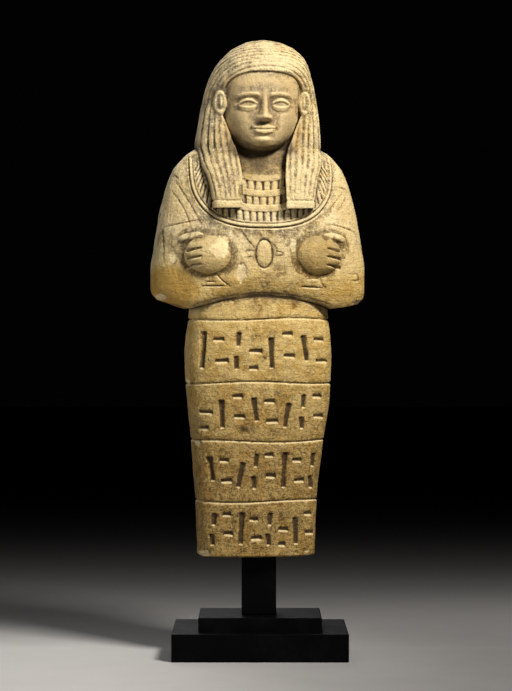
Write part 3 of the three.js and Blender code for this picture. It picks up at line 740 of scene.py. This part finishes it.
def carve_figure(piece):
    """Cuts the collar, hands, tools, bands and strokes into the joined block."""
    p, n = points_of(piece), normals_of(piece)
    x, y, z = p.T
    facing = smooth(-n[:, 1], 0.12, 0.5)
    on_chest = smooth(np.abs(y - torso_front(x, z)), 1.3, 0.6) * facing * smooth(z, 109, 112)
    cut = np.zeros(len(p))

    cut += collar_cut(x, z) * on_chest * smooth(z, 138, 140)
    for path, width, depth in TOOL_LINES:
        cut += line_cut(x, z, arc(*path), width, depth) * on_chest
    ring = np.hypot(x / PENDANT.half_width, (z - PENDANT.z) / PENDANT.half_height)
    cut += (groove((ring - 1) * 4.4, 0.55, 0.6) - 0.35 * smooth(ring, 1, 0.5)) * on_chest

    for side in (1, -1):
        ring = from_fist(x, z, side, 0.9)
        cut += groove((ring - 1) * 10, 1.4, 0.2) * facing * smooth(np.abs(y - torso_front(x, z)), 2.4, 1.2)
        for finger in FIST.fingers:
            cut += gouge(x, z, (side * 34, finger - 0.9), (side * 26.6, finger + 0.5), 2.2, 0.9, 1.2) * facing

    for side in (1, -1):
        on_ear = smooth(y, EAR.y + 0.6, EAR.y - 0.6)
        across = side * (x - lean(EAR.z)) - EAR.x
        ring = np.hypot(across / 2.8, (z - EAR.z) / EAR.radius[2])
        shell = smooth(ring, 0.8, 0.55) * smooth(z, EAR.z - 4.4, EAR.z - 2.6)
        cut += (0.85 * shell - 0.7 * bump(across, z, -0.2, EAR.z + 0.4, 0.6, 2.4)
                - 0.5 * bump(across, z, -2.2, EAR.z - 0.8, 0.9, 1.3)) * on_ear * (ring < 1.3)

    for side in (1, -1):
        broken = bump(x, z, side * THUMB.x, THUMB.z, 8, 3.4) * smooth(y, -17, -19)
        cut += broken * (0.28 * ripple(p, 4.6, 41) + 0.14 * ripple(p, 2.2, 42) + 0.1)

    around = smooth(n[:, 1], 0.75, 0.1) * 0.85 + 0.15
    on_legs = smooth(z, LEGS_CARVED_TO, LEGS_CARVED_TO - 2)
    for number, height in enumerate(BAND_LINES):
        wave = height + 0.5 * np.sin(x / 9 + 2 * number)
        cut += groove(z - wave, 0.6, 0.8) * around * on_legs
    for start, end in inscription_strokes():
        half = math.dist(start, end) / 2
        near = np.hypot(x - (start[0] + end[0]) / 2, z - (start[1] + end[1]) / 2) < half + 1.5
        near = np.flatnonzero(near & (z < LEGS_CARVED_TO))
        wide = INSCRIPTION.wide if half > INSCRIPTION.long else INSCRIPTION.narrow
        cut[near] += gouge(x[near], z[near], start, end, wide, wide * 0.75, 0.4 * wide) * facing[near]
    under = z < waist_edge(x) + 0.5
    cut += np.where(under, 0, groove(z - waist_edge(x) - 0.6, 0.6, 0.2)) * facing * smooth(np.abs(x), 31, 28)

    wear = 0.16 * ripple(p, 26, 11) + 0.07 * ripple(p, 9, 12) + 0.035 * ripple(p, 3.4, 13)
    cut += wear * (1 - 0.8 * on_face(y, z, HEAD.chin)) * smooth(z, 0.2, 3)
    cut += chips(p) + scars(p)[1]
    p -= n * cut[:, None]
    move_points(piece, p)


CHIP_COUNT = 90
CHIP_SIZES = (0.5, 1.5)
CHIP_DEPTH = 0.22


def chips(p):
    """Small losses at fixed random places."""
    rng = np.random.default_rng(29)
    loss = np.zeros(len(p))
    anchors = p[rng.integers(0, len(p), CHIP_COUNT)]
    sizes = rng.uniform(*CHIP_SIZES, CHIP_COUNT)
    for anchor, size in zip(anchors, sizes):
        stretch = rng.uniform(0.5, 1.6, 3)
        # The face stays whole.
        if anchor[1] < -9 and 177 < anchor[2] < 208:
            continue
        distance = np.linalg.norm((p - anchor) * stretch, axis=1)
        loss += CHIP_DEPTH * size * np.maximum(0, 1 - (distance / size) ** 2)
    return loss


# Pale places where the skin of the stone has broken off: middle (x, z), half width, half height and depth.
SCARS = ((-17.6, 134.6, 3, 4, 0.3), (-9.8, 122.2, 2.6, 4.8, 0.4), (-19.6, 131.6, 5, 3.4, 0.2),
         (-38.2, 129, 1.8, 3.4, 0.2), (-43, 112, 2.6, 1.6, 0.5), (42.6, 109.5, 3, 1.3, 0.4),
         (12.6, 134, 1.6, 3.4, 0.15), (30, 3, 2.4, 2, 0.7), (-24, 1.5, 2.6, 1.4, 0.7),
         (-31, 75, 1.2, 1.8, 0.6), (31, 48, 1.2, 1.6, 0.6), (-27, 49, 1.4, 1.2, 0.6))


def scars(p):
    """How far each place lies inside a scar, with ragged edges, and how deep the scars are."""
    x, y, z = p.T
    ragged = 0.16 * ripple(p, 4, 31) + 0.1 * ripple(p, 1.8, 32)
    fresh, depth = np.zeros(len(p)), np.zeros(len(p))
    for at_x, at_z, wide, tall, deep in SCARS:
        inside = 1 - np.hypot((x - at_x) / wide, (z - at_z) / tall) + ragged
        share = smooth(inside, 0, 0.25) * (y < 0)
        fresh, depth = np.maximum(fresh, share), np.maximum(depth, share * deep)
    return fresh, depth


def clean(p):
    """Where the cuts take less dirt and painted shade: on the hair and round the fists."""
    x, y, z = p.T
    falls = smooth(np.abs(x), 9, 11) * smooth(np.abs(x), 26, 24) * smooth(z, 149, 152)
    falls *= smooth(torso_front(x, np.minimum(z, 170)) - y, 1.2, 2.2)
    hair = np.maximum(smooth(z, 186, 190), falls)
    fists = sum(smooth(from_fist(x, z, side), 1.4, 1.2) for side in (1, -1)) * (y < 0)
    return np.maximum(hair, fists)


def grime(p):
    """Where grime and painted shade darken the stone: painted shadow under the chin and beside the neck, a
    band along the forearms' lower edge, painted shadow round the fists, and stains on them.
    """
    x, y, z = p.T
    # Painted shadow of the chin on the neck, with some dirt.
    neck = bump(x + 2, z, 0, 170, 9, 9) * smooth(y, -18.5, -16)
    # Painted shadow beside the neck, deeper on the left, the side turned from the light.
    beside = (bump(np.abs(x) - 11.5, z, 0, 172, 3, 13) * smooth(y, -19, -16) * (y < -4)
              * np.where(x < 0, 1.25, 0.8))
    # Painted shadow right under the chin.
    chin = bump(x, z, -1, 176, 13, 3.2) * smooth(y, -19.5, -16.5) * (y < -4)
    under_arms = smooth(np.abs(z - waist_edge(x)), 2.6, 0.6) * smooth(np.abs(x), 34, 29) * (y < 0)
    # Painted shadow at the lower left round each fist, on the side away from the light.
    rings = (np.hypot((x - side * FIST.x + 2.5) / 11.5, (z - FIST.z + 1.5) / 10) for side in (1, -1))
    fist_shadows = sum(np.exp(-((ring - 1) * 6) ** 2) for ring in rings) * (y < -12) * 0.1
    shares = ((1, 0.42), (-1, 0.24))
    fists = sum(share * smooth(from_fist(x, z, side), 1.05, 0.85) for side, share in shares) * (y < 0)
    return np.clip(neck + beside + chin + 0.8 * under_arms + fist_shadows + fists, 0, 1)


# Warm brown places: middle (x, z), half width, half height and share.
OCHRE = ((-40, 115, 12, 11, 1), (40, 114, 12, 9, 0.4), (23.8, 129.6, 11, 10, 0.75),
         (-23.8, 129.6, 11, 10, 0.35), (0, 168, 12, 10, 0.7), (-14, 116, 9, 5, 0.5),
         (-34, 152, 8, 12, 0.3), (0, 134, 7, 8, 0.35), (-17, 164, 9, 24, 0.35),
         (0, 156, 12, 10, 0.45), (17, 164, 9, 24, 0.2), (40, 150, 9, 26, 0.4))


def ochre(p):
    """Where the stone is warm brown."""
    x, y, z = p.T
    share = np.zeros(len(p))
    for at_x, at_z, wide, tall, much in OCHRE:
        distance = np.hypot((x - at_x) / wide, (z - at_z) / tall)
        share = np.maximum(share, much * smooth(distance, 1.15, 0.7))
    return share * (y < 4)


def relaxed(values, edges, rounds):
    """Values, each moved to the mean of its neighbours, again and again."""
    a, b = edges.T
    count = np.bincount(a, minlength=len(values)) + np.bincount(b, minlength=len(values))
    values = values.copy()
    for _ in range(rounds):
        total = np.stack([np.bincount(a, column[b], len(column)) + np.bincount(b, column[a], len(column))
                          for column in values.T], axis=1)
        values += 0.7 * (total / np.maximum(count, 1)[:, None] - values)
    return values


# The skin is smoothed over a few rounds to tell the cuts, and over many to tell the broad hollows and the
# way the relief faces. The depths are those that count in full.
CUTS = Sizes(rounds=5, depth=0.1)
HOLLOWS = Sizes(rounds=60, depth=0.6)
TILT_ROUNDS = 40


def note_surface(piece):
    """Keeps what the finish needs: how deep each place lies under its surroundings, close by and further
    off, how far its relief faces up or down, where the skin is broken, where grime and painted shade darken
    it, where the cuts take less dirt and painted shade, where the stone is brown and where it is polished."""
    p, n = points_of(piece), normals_of(piece)
    edges = read(piece.data.edges, "vertices", 2, np.int32)
    near, far = (((relaxed(p, edges, scale.rounds) - p) * n).sum(axis=1) for scale in (CUTS, HOLLOWS))
    near, far = relaxed(np.stack([near, far], axis=1), edges, 5).T
    steady = relaxed(near[:, None], edges, 3)[:, 0] * 1.2
    fainter_share = clean(p)
    near = near + (steady - near) * fainter_share
    tilt = (n - relaxed(n, edges, TILT_ROUNDS))[:, 2]
    # Hollows that face up are made shallower, so that less painted shade falls in them.
    near = np.where(near > 0, near * (1 - 0.6 * np.clip(n[:, 2] * 1.6, 0, 1)), near)
    x, y, z = p.T
    notes = {
        "hollow": np.clip(near / CUTS.depth, -1, 1) * 0.5 + 0.5,
        "recess": np.clip(far / HOLLOWS.depth, -1, 1) * 0.5 + 0.5,
        "tilt": np.clip(tilt, -1, 1) * 0.5 + 0.5,
        "fresh": scars(p)[0],
        "grime": grime(p),
        "clean": fainter_share,
        "ochre": ochre(p),
        "polish": on_face(y, z, HEAD.chin - 1) * smooth(np.abs(x - lean(z)), 18, 16),
    }
    for name, values in notes.items():
        attribute = piece.data.attributes.new(name, "FLOAT", "POINT")
        attribute.data.foreach_set("value", np.ascontiguousarray(values, np.float32))


def place_in_frame(piece, turn):
    """Turns the finished figure on its post and sets it at its place, in metres, inside its block."""
    low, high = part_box("ushabti_figure")
    x, y, z = points_of(piece).T
    placed = np.stack([*turned(x, y, turn), z], axis=1) * MM + (0, 0, low[2])
    move_points(piece, np.clip(placed, low, high))


# -------- shader maths


class Socket:
    """A node output that takes part in Python arithmetic: each operator adds a Math node."""

    def __init__(self, nodes, output):
        self.nodes, self.output = nodes, output

    def _math(self, operation, *values):
        return self.nodes.add("ShaderNodeMath", {"operation": operation}, dict(enumerate(values)))

    def __add__(self, other):
        return self._math("ADD", self, other)

    def __radd__(self, other):
        return self._math("ADD", other, self)

    def __sub__(self, other):
        return self._math("SUBTRACT", self, other)

    def __rsub__(self, other):
        return self._math("SUBTRACT", other, self)

    def __mul__(self, other):
        return self._math("MULTIPLY", self, other)

    def __rmul__(self, other):
        return self._math("MULTIPLY", other, self)

    def exp(self):
        return self._math("EXPONENT", self)

    def clip(self):
        return self.nodes.add("ShaderNodeClamp", {}, {"Value": self})

    def ramp(self, low, high):
        """0 at low and 1 at high, smoothly."""
        values = {"Value": self, "From Min": low, "From Max": high}
        return self.nodes.add("ShaderNodeMapRange", {"interpolation_type": "SMOOTHSTEP"}, values)


class Finish:
    """A material under construction, with its Principled shader."""

    def __init__(self, name):
        self.material = bpy.data.materials.new(name)
        self.material.use_nodes = True
        self.tree = self.material.node_tree
        self.shader = next(n for n in self.tree.nodes if n.type == "BSDF_PRINCIPLED")

    def add(self, kind, settings=None, values=None, output=0):
        """A node of a kind, with its settings set first and then the values or links of its sockets."""
        node = self.tree.nodes.new(kind)
        for name, value in (settings or {}).items():
            setattr(node, name, value)
        for name, value in (values or {}).items():
            if isinstance(value, Socket):
                self.tree.links.new(value.output, node.inputs[name])
            else:
                node.inputs[name].default_value = value
        return Socket(self, node.outputs[output])

    def place(self):
        """Where a point lies on the piece, in metres."""
        return self.add("ShaderNodeTexCoord", output="Object")

    def axis(self, place, name):
        return self.add("ShaderNodeSeparateXYZ", {}, {"Vector": place}, output=name)

    def stretched(self, place, scale):
        return self.add("ShaderNodeMapping", {}, {"Vector": place, "Scale": scale})

    def noise(self, place, scale, detail, rough, warp=0.0):
        values = {"Vector": place, "Scale": scale, "Detail": detail, "Roughness": rough, "Distortion": warp}
        return self.add("ShaderNodeTexNoise", {}, values)

    def attribute(self, name):
        return self.add("ShaderNodeAttribute", {"attribute_name": name}, output="Fac")

    def mix(self, factor, first, second, blend="MIX"):
        settings = {"data_type": "RGBA", "blend_type": blend}
        return self.add("ShaderNodeMix", settings, {0: factor, 6: first, 7: second}, output=2)

    def bump(self, height, distance, strength, under=None):
        """Relief in metres that only the light shows, laid over the relief under it."""
        values = {"Height": height, "Distance": distance, "Strength": strength}
        if under is not None:
            values["Normal"] = under
        return self.add("ShaderNodeBump", {}, values)

    def feed(self, **sockets):
        """Sets or links the shader's own sockets, whose names are written with _ for a space."""
        for name, value in sockets.items():
            socket = self.shader.inputs[name.replace("_", " ")]
            if isinstance(value, Socket):
                self.tree.links.new(value.output, socket)
            else:
                socket.default_value = value


def rgb(colour):
    return (*colour, 1.0)


# Heights in metres between which the stone's looks change.
CHEST = (0.15, 0.19)
# Below LOWER_BODY the stone grows darker, partly as painted shade.
LOWER_BODY = (0.07, 0.158)
YELLOWED_BODY = (0.156, 0.184)
ELBOWS = ((0.14, 0.152), (0.172, 0.192))


def limestone(look):
    """Pale stone: clouds and stains by place, dirt and painted shade in its cuts and hollows, painted shadow
    under the chin and beside the neck, painted highlights on relief that faces up, and pale rubbed edges and
    scars.
    """
    finish = Finish("carved_limestone")
    place = finish.place()
    height = finish.axis(place, "Z")

    broad = finish.noise(place, 26, 3, 0.6, 0.7)
    cloudy = finish.noise(place, 70, 5, 0.62, 1.0)
    mottled = finish.noise(place, 210, 5, 0.7, 0.4)
    blotches = finish.noise(place, 480, 4, 0.72)
    grains = finish.noise(place, 1150, 3, 0.7)
    veined = finish.noise(place, 380, 6, 0.78, 2.2)
    patches = finish.noise(place, 130, 3, 0.6, 1.2)
    streaks = finish.noise(finish.stretched(place, (1, 1, 0.13)), 520, 4, 0.66)
    rasped = finish.noise(finish.stretched(place, (0.16, 0.16, 1)), 620, 4, 0.66)
    hollow, recess, tilt, fresh, grime, fainter_cut_share, brown, polish = (finish.attribute(name) for name in (
        "hollow", "recess", "tilt", "fresh", "grime", "clean", "ochre", "polish"))

    # Where each look shows: by height, by the relief of the carving and by place.
    lower, yellow = 1 - height.ramp(*LOWER_BODY), 1 - height.ramp(*YELLOWED_BODY)
    elbows = height.ramp(*ELBOWS[0]) * (1 - height.ramp(*ELBOWS[1]))
    rough = 1 - polish * 0.45
    clouds = cloudy.ramp(0.42, 0.58)
    grey = (broad.ramp(0.45, 0.54) * height.ramp(*CHEST) * (0.4 + mottled.ramp(0.42, 0.56) * 0.6)).clip()
    # Pale rubbed wear on convex edges, with painted highlight on the rims of cuts, on broad convex forms and
    # on relief that faces up.
    wear_and_highlight = ((1 - hollow.ramp(0.2, 0.47)) * 0.9 + (1 - recess.ramp(0.1, 0.42)) * 0.3
              + tilt.ramp(0.56, 0.8) * 0.7).clip()
    golden = (1 - patches.ramp(0.42, 0.52)) * yellow * 0.6
    warm = brown * (0.65 + patches.ramp(0.42, 0.58) * 0.5) + golden
    # Painted shade under relief that faces down.
    under = (1 - tilt.ramp(0.16, 0.42)) * 0.55
    # Dirt and painted shade in the cuts, and painted shade in the broad hollows and under downward-facing
    # relief.
    dirt_and_shade = (hollow.ramp(0.51, 0.72) * 0.85 + recess.ramp(0.58, 0.95) * 0.4 + under).clip()
    # Little of it on relief that faces up, where the light falls, and less on the hair and fists.
    dirt_and_shade = dirt_and_shade * (1 - tilt.ramp(0.54, 0.7) * 0.9) * (1 - fainter_cut_share * 0.5)

    # Each layer: how much of it shows, its tint, and whether it covers what is under it or darkens it.
    layers = (
        (grey * 0.9, look.grey),
        ((elbows * (0.3 + clouds * 0.5)).clip(), look.rust),
        (mottled.ramp(0.49, 0.62) * (0.35 + lower * 0.25), look.rust),
        (patches.ramp(0.5, 0.58) * lower, look.grey),
        ((1 - patches.ramp(0.4, 0.5)) * lower * 0.45, look.honey),
        (streaks.ramp(0.46, 0.58) * (0.25 + lower * 0.5) * rough, look.stain_and_shade),
        (rasped.ramp(0.47, 0.58) * (0.25 + lower * 0.45) * rough, look.stain_and_shade),
        (blotches.ramp(0.5, 0.58) * 0.6 * rough, look.stain_and_shade),
        ((1 - blotches.ramp(0.4, 0.49)) * 0.6, look.wear_and_highlight),
        (grains.ramp(0.49, 0.57) * 0.6 * rough, look.stain_and_shade),
        # Rubbed wear and painted highlight.
        (wear_and_highlight * 0.75, look.wear_and_highlight),
        ((1 - veined.ramp(0.41, 0.49)) * (0.2 + lower * 0.5), look.wear_and_highlight),
        (veined.ramp(0.49, 0.58) * (0.15 + lower * 0.6) * rough, look.stain_and_shade),
        ((1 - blotches.ramp(0.41, 0.48)) * grains.ramp(0.45, 0.55) * lower * 0.6, look.dirt_and_shade),
        (yellow, look.yellowed, "MULTIPLY"),
        # Darker towards the bottom: partly darker stone, partly painted shade where less light reaches the
        # lower body.
        (lower, look.darkened, "MULTIPLY"),
        (polish, look.handled, "MULTIPLY"),
        (warm.clip(), look.ochre, "MULTIPLY"),
        # Painted highlight on the lower walls of cuts and other relief that faces up, where the light falls.
        (tilt.ramp(0.6, 0.8) * 0.6 * (1 - fresh), look.wear_and_highlight),
        # Painted shadow under the chin and beside the neck, with grime and stains on the neck and fists, in
        # two layers.
        (grime * (0.5 + mottled.ramp(0.4, 0.6) * 0.4), look.stain_and_shade),
        (grime.ramp(0.55, 1.0) * 0.55, look.dirt_and_shade),
        # Dirt and painted shade in the cuts and hollows.
        (dirt_and_shade * (1 - fresh) * 0.88, look.dirt_and_shade),
        (fresh * (0.55 + mottled.ramp(0.4, 0.6) * 0.4), look.wear_and_highlight),
    )
    colour = finish.mix(clouds, rgb(look.stone), rgb(look.honey))
    for share, tint, *blend in layers:
        colour = finish.mix(share, colour, rgb(tint), *blend)

    normal = None
    reliefs = ((grains * rough, 0.0006, 0.6), (streaks * rough, 0.0008, 0.6), (rasped * rough, 0.001, 0.6),
               (mottled * rough, 0.0022, 0.6), (1 - blotches.ramp(0.6, 0.7), 0.0004, 0.5))
    for relief, depth, strength in reliefs:
        normal = finish.bump(relief, depth, strength, normal)
    roughness = (0.6 + grains * 0.2 + dirt_and_shade * 0.2 - wear_and_highlight * 0.1).clip()
    finish.feed(Base_Color=colour, Roughness=roughness, Normal=normal, Specular_IOR_Level=0.25)
    return finish.material


def pale_paper(look):
    """Pale paper with painted light: a painted falloff takes it to black behind the object, and painted shade
    makes it greyer on the lit side.
    """
    paper = Finish("pale_paper")
    place = paper.place()
    across, behind = (paper.axis(place, name) for name in "XY")
    # Painted falloff of the light: the paper fades to black behind the object.
    near = ((behind - 0.02) * (-1 / 0.13)).exp().clip()
    # Painted shade that greys the paper on the right, the lit side, towards the front.
    beside = across.ramp(-0.1, 0.12) * (1 - behind.ramp(0.0, 0.22))
    pale = paper.mix(paper.noise(place, 40, 4, 0.55), rgb(look.paper), rgb(look.paper_grain))
    shown = paper.mix(near * (1 - beside * 0.66), rgb((0, 0, 0)), pale)
    paper.feed(Base_Color=shown, Roughness=0.9, Specular_IOR_Level=0)
    return paper.material


def black_paint(look):
    """Matt black paint with brush marks along it and a little dust."""
    finish = Finish("black_paint")
    place = finish.place()
    brushed = finish.noise(finish.stretched(place, (0.2, 1, 1)), 420, 3, 0.5)
    dust = finish.noise(place, 90, 5, 0.6)
    colour = finish.mix(dust.ramp(0.45, 0.8) * 0.5, rgb(look.paint), rgb(look.dust))
    roughness = (0.3 + brushed * 0.12 + dust.ramp(0.4, 0.8) * 0.18).clip()
    normal = finish.bump(brushed, 0.00006, 0.4)
    normal = finish.bump(dust, 0.0002, 0.3, normal)
    finish.feed(Base_Color=colour, Roughness=roughness, Normal=normal, Specular_IOR_Level=0.03)
    return finish.material


# -------- the stand


def plain_block(name, low, high):
    """A square block between two corners."""
    deselect_all()
    middle = [(a + b) / 2 for a, b in zip(low, high)]
    bpy.ops.mesh.primitive_cube_add(size=1, location=middle, scale=[b - a for a, b in zip(low, high)])
    block = bpy.context.object
    block.name = name
    bpy.ops.object.transform_apply(location=True, rotation=True, scale=True)
    return block


def raise_step(block, inset, height):
    """Draws a second, smaller step up from the top of a block."""
    low, high = (np.array(corner) for corner in (block.bound_box[0], block.bound_box[6]))
    shares = [1 - 2 * inset[k] / (high[k] - low[k]) for k in (0, 1)]
    for face in block.data.polygons:
        face.select = face.normal.z > 0.9
    with editing(block):
        bpy.ops.mesh.select_mode(type="FACE")
        bpy.ops.mesh.extrude_region_move()
        bpy.ops.transform.resize(value=(*shares, 1))
        bpy.ops.mesh.extrude_region_move(TRANSFORM_OT_translate={"value": (0, 0, height)})


def break_edges(block, edge):
    """Rounds every edge of a block a little."""
    with editing(block):
        bpy.ops.mesh.select_all(action="SELECT")
        bpy.ops.mesh.bevel(offset=edge, segments=3, affect="EDGES")


def finish_piece(piece, material, node):
    """Gives a piece its material, sets it on the root body and hides the solid of the frame that it stands
    for.
    """
    piece.data.materials.clear()
    piece.data.materials.append(material)
    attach(piece, "root")
    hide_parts(node)


# -------- settings and operators


def colour_setting(name, description, default):
    return FloatVectorProperty(name=name, description=description, subtype="COLOR", size=3, min=0, max=1,
                               default=default)


def length_setting(name, description, default):
    return FloatProperty(name=name, description=description, subtype="DISTANCE", unit="LENGTH",
                         default=default)


def number_setting(name, description, default, **limits):
    return FloatProperty(name=name, description=description, default=default, **limits)


class FigureSettings(PropertyGroup):
    turn: number_setting("Turn", "How far the figure is turned on its post", math.radians(7), subtype="ANGLE")
    grain: number_setting("Grain", "Size of the block's cells, in figure millimetres",
                          0.3, min=0.2, max=2)
    triangles: IntProperty(name="Triangles", description="Most triangles in the figure", default=192000)
    stone: colour_setting("Stone", "Main colour of the limestone", (0.70, 0.54, 0.27))
    honey: colour_setting("Honey", "Warmer clouds in the stone", (0.60, 0.41, 0.15))
    grey: colour_setting("Grey", "Greyer skin on the chest and the hair", (0.50, 0.435, 0.32))
    yellowed: colour_setting("Yellowed", "How the elbows and the lower body are tinted", (0.84, 0.75, 0.51))
    # Darkening towards the bottom: partly darker stone, partly painted shade.
    darkened: colour_setting("Darkened", "How the lowest bands are darkened", (0.56, 0.51, 0.42))
    ochre: colour_setting("Ochre", "How the warm brown places are tinted", (0.76, 0.64, 0.36))
    handled: colour_setting("Handled", "How the smooth face is tinted", (0.74, 0.68, 0.6))
    rust: colour_setting("Rust", "Brown stains", (0.25, 0.14, 0.035))
    # Colour of stains, also used for the painted shadow under the chin and beside the neck.
    stain_and_shade: colour_setting("Stain", "Grey-brown stains", (0.135, 0.09, 0.036))
    # Colour of the dirt, and of the painted shade in cuts, hollows and under the chin.
    dirt_and_shade: colour_setting("Dirt", "Dirt in the cuts", (0.042, 0.026, 0.012))
    # Colour of rubbed wear and of the painted highlights.
    wear_and_highlight: colour_setting("Rubbed", "Rubbed edges", (0.80, 0.64, 0.35))


class StandSettings(PropertyGroup):
    edge: length_setting("Edge", "Width of the broken edges", 0.0005)
    inset_x: number_setting("Inset across", "Tread of the step, of the width", 0.149)
    inset_y: number_setting("Inset along", "Tread of the step, of the depth", 0.152)
    paint: colour_setting("Paint", "Black paint", (0.0015, 0.0015, 0.0018))
    dust: colour_setting("Dust", "Thin dust on the paint", (0.004, 0.004, 0.004))


class StudioSettings(PropertyGroup):
    camera_distance: length_setting("Camera distance", "From the camera to the figure's axis", 1.0)
    camera_height: length_setting("Camera height", "Height of the level camera", 0.1345)
    camera_left: length_setting("Camera to the left", "How far the camera stands left of the axis", 0.00074)
    lens: number_setting("Lens", "Focal length", 119.5)
    floor: length_setting("Floor", "Length of each side of the floor", 8)
    key_power: number_setting("Key light", "Power of the main soft light", 22.6)
    fill_power: number_setting("Fill light", "Power of the wide light on the other side", 5.1)
    back_power: number_setting("Back light", "Power of the wide light from behind", 6.63)
    paper: colour_setting("Paper", "The paper's darker grain", (0.41, 0.4, 0.39))
    paper_grain: colour_setting("Paper grain", "The paper's lighter grain", (0.46, 0.447, 0.435))
    room: colour_setting("Room", "Colour of the room's weak light", (0.9, 0.95, 1))
    room_power: number_setting("Room light", "Strength of the room's weak light", 0.0006)


class USHABTI_OT_figure(Operator):
    """Carve the limestone figure"""
    bl_idname = "ushabti.figure"
    bl_label = "Carve Figure"

    def execute(self, context):
        sizes = context.scene.ushabti_figure
        fine = 1
        figure = join("limestone_figure", figure_masses(fine))
        apply_modifier(figure, "REMESH", mode="VOXEL", voxel_size=sizes.grain)
        carve_figure(figure)
        faces = sum(len(face.vertices) - 2 for face in figure.data.polygons)
        if faces > sizes.triangles:
            apply_modifier(figure, "DECIMATE", ratio=sizes.triangles / faces)
        drop_crumbs(figure)
        bpy.ops.object.shade_smooth()
        note_surface(figure)
        place_in_frame(figure, sizes.turn)
        finish_piece(figure, limestone(sizes), "ushabti_figure")
        return {"FINISHED"}


class USHABTI_OT_stand(Operator):
    """Model the stepped base and its post"""
    bl_idname = "ushabti.stand"
    bl_label = "Model Stand"

    def execute(self, context):
        look = context.scene.ushabti_stand
        paint = black_paint(look)
        post = plain_block("black_post", *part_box("stand_post"))
        break_edges(post, look.edge)
        finish_piece(post, paint, "stand_post")

        # The upper step is a third of the base's height.
        low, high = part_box("stand_base")
        step = (high[2] - low[2]) / 3
        base = plain_block("black_base", low, (high[0], high[1], high[2] - step))
        raise_step(base, ((high[0] - low[0]) * look.inset_x, (high[1] - low[1]) * look.inset_y), step)
        break_edges(base, look.edge)
        finish_piece(base, paint, "stand_base")
        return {"FINISHED"}


# The soft lights: where each stands and how wide it is, in metres, and its colour. All face the chest.
LIGHTS = (
    ("key", (0.53, -0.68, 0.93), 0.26, (1, 0.97, 0.92)),
    ("fill", (-1.0, -0.85, 0.27), 0.9, (0.95, 0.97, 1)),
    ("back", (-0.3, 1.1, 0.9), 0.8, (1, 1, 1)),
)
LIT = (0, 0, 0.17)


def soft_light(name, place, size, power, colour):
    """A square area light at a place."""
    deselect_all()
    bpy.ops.object.light_add(type="AREA", location=place)
    light = bpy.context.object
    light.name = name
    light.data.size = size
    light.data.energy = power
    light.data.color = colour
    x, y, z = (b - a for a, b in zip(place, LIT))
    light.rotation_euler = (math.atan2(math.hypot(x, y), -z), 0, math.atan2(-x, y))


class USHABTI_OT_stage(Operator):
    """Set up the floor, the soft lights and the camera"""
    bl_idname = "ushabti.stage"
    bl_label = "Set Stage"

    def execute(self, context):
        studio = context.scene.ushabti_studio
        deselect_all()
        bpy.ops.mesh.primitive_plane_add(size=studio.floor, location=(0, 0, 0))
        floor = context.object
        floor.name = "pale_floor"
        floor.data.materials.append(pale_paper(studio))

        world = context.scene.world or bpy.data.worlds.new("studio")
        context.scene.world = world
        world.use_nodes = True
        background = next(n for n in world.node_tree.nodes if n.type == "BACKGROUND")
        background.inputs["Color"].default_value = rgb(studio.room)
        background.inputs["Strength"].default_value = studio.room_power
        for name, place, size, colour in LIGHTS:
            soft_light(name + "_light", place, size, getattr(studio, name + "_power"), colour)

        camera = bpy.data.cameras.new("studio_camera")
        camera.lens = studio.lens
        camera.sensor_width = 36
        view = bpy.data.objects.new("studio_camera", camera)
        view.location = (-studio.camera_left, -studio.camera_distance, studio.camera_height)
        view.rotation_euler = (math.pi / 2, 0, 0)
        context.collection.objects.link(view)
        context.scene.camera = view
        context.scene.view_settings.view_transform = "Standard"
        return {"FINISHED"}


class USHABTI_PT_panel(Panel):
    """Lists the pieces in the sidebar"""
    bl_label = "Ushabti"
    bl_space_type = "VIEW_3D"
    bl_region_type = "UI"
    bl_category = "Ushabti"

    def draw(self, context):
        for settings, operator in (("ushabti_figure", "ushabti.figure"), ("ushabti_stand", "ushabti.stand"),
                                   ("ushabti_studio", "ushabti.stage")):
            box = self.layout.box()
            group = getattr(context.scene, settings)
            for name in group.bl_rna.properties.keys():
                if name not in {"rna_type", "name"}:
                    box.prop(group, name)
            box.operator(operator)


SETTINGS = {"ushabti_figure": FigureSettings, "ushabti_stand": StandSettings,
            "ushabti_studio": StudioSettings}
CLASSES = (*SETTINGS.values(), USHABTI_OT_figure, USHABTI_OT_stand, USHABTI_OT_stage, USHABTI_PT_panel)


def register():
    for cls in CLASSES:
        bpy.utils.register_class(cls)
    for name, group in SETTINGS.items():
        setattr(bpy.types.Scene, name, PointerProperty(type=group))


def unregister():
    for name in SETTINGS:
        delattr(bpy.types.Scene, name)
    for cls in reversed(CLASSES):
        bpy.utils.unregister_class(cls)


def main():
    register()
    bpy.ops.ushabti.figure()
    bpy.ops.ushabti.stand()
    bpy.ops.ushabti.stage()


if __name__ == "__main__":
    main()
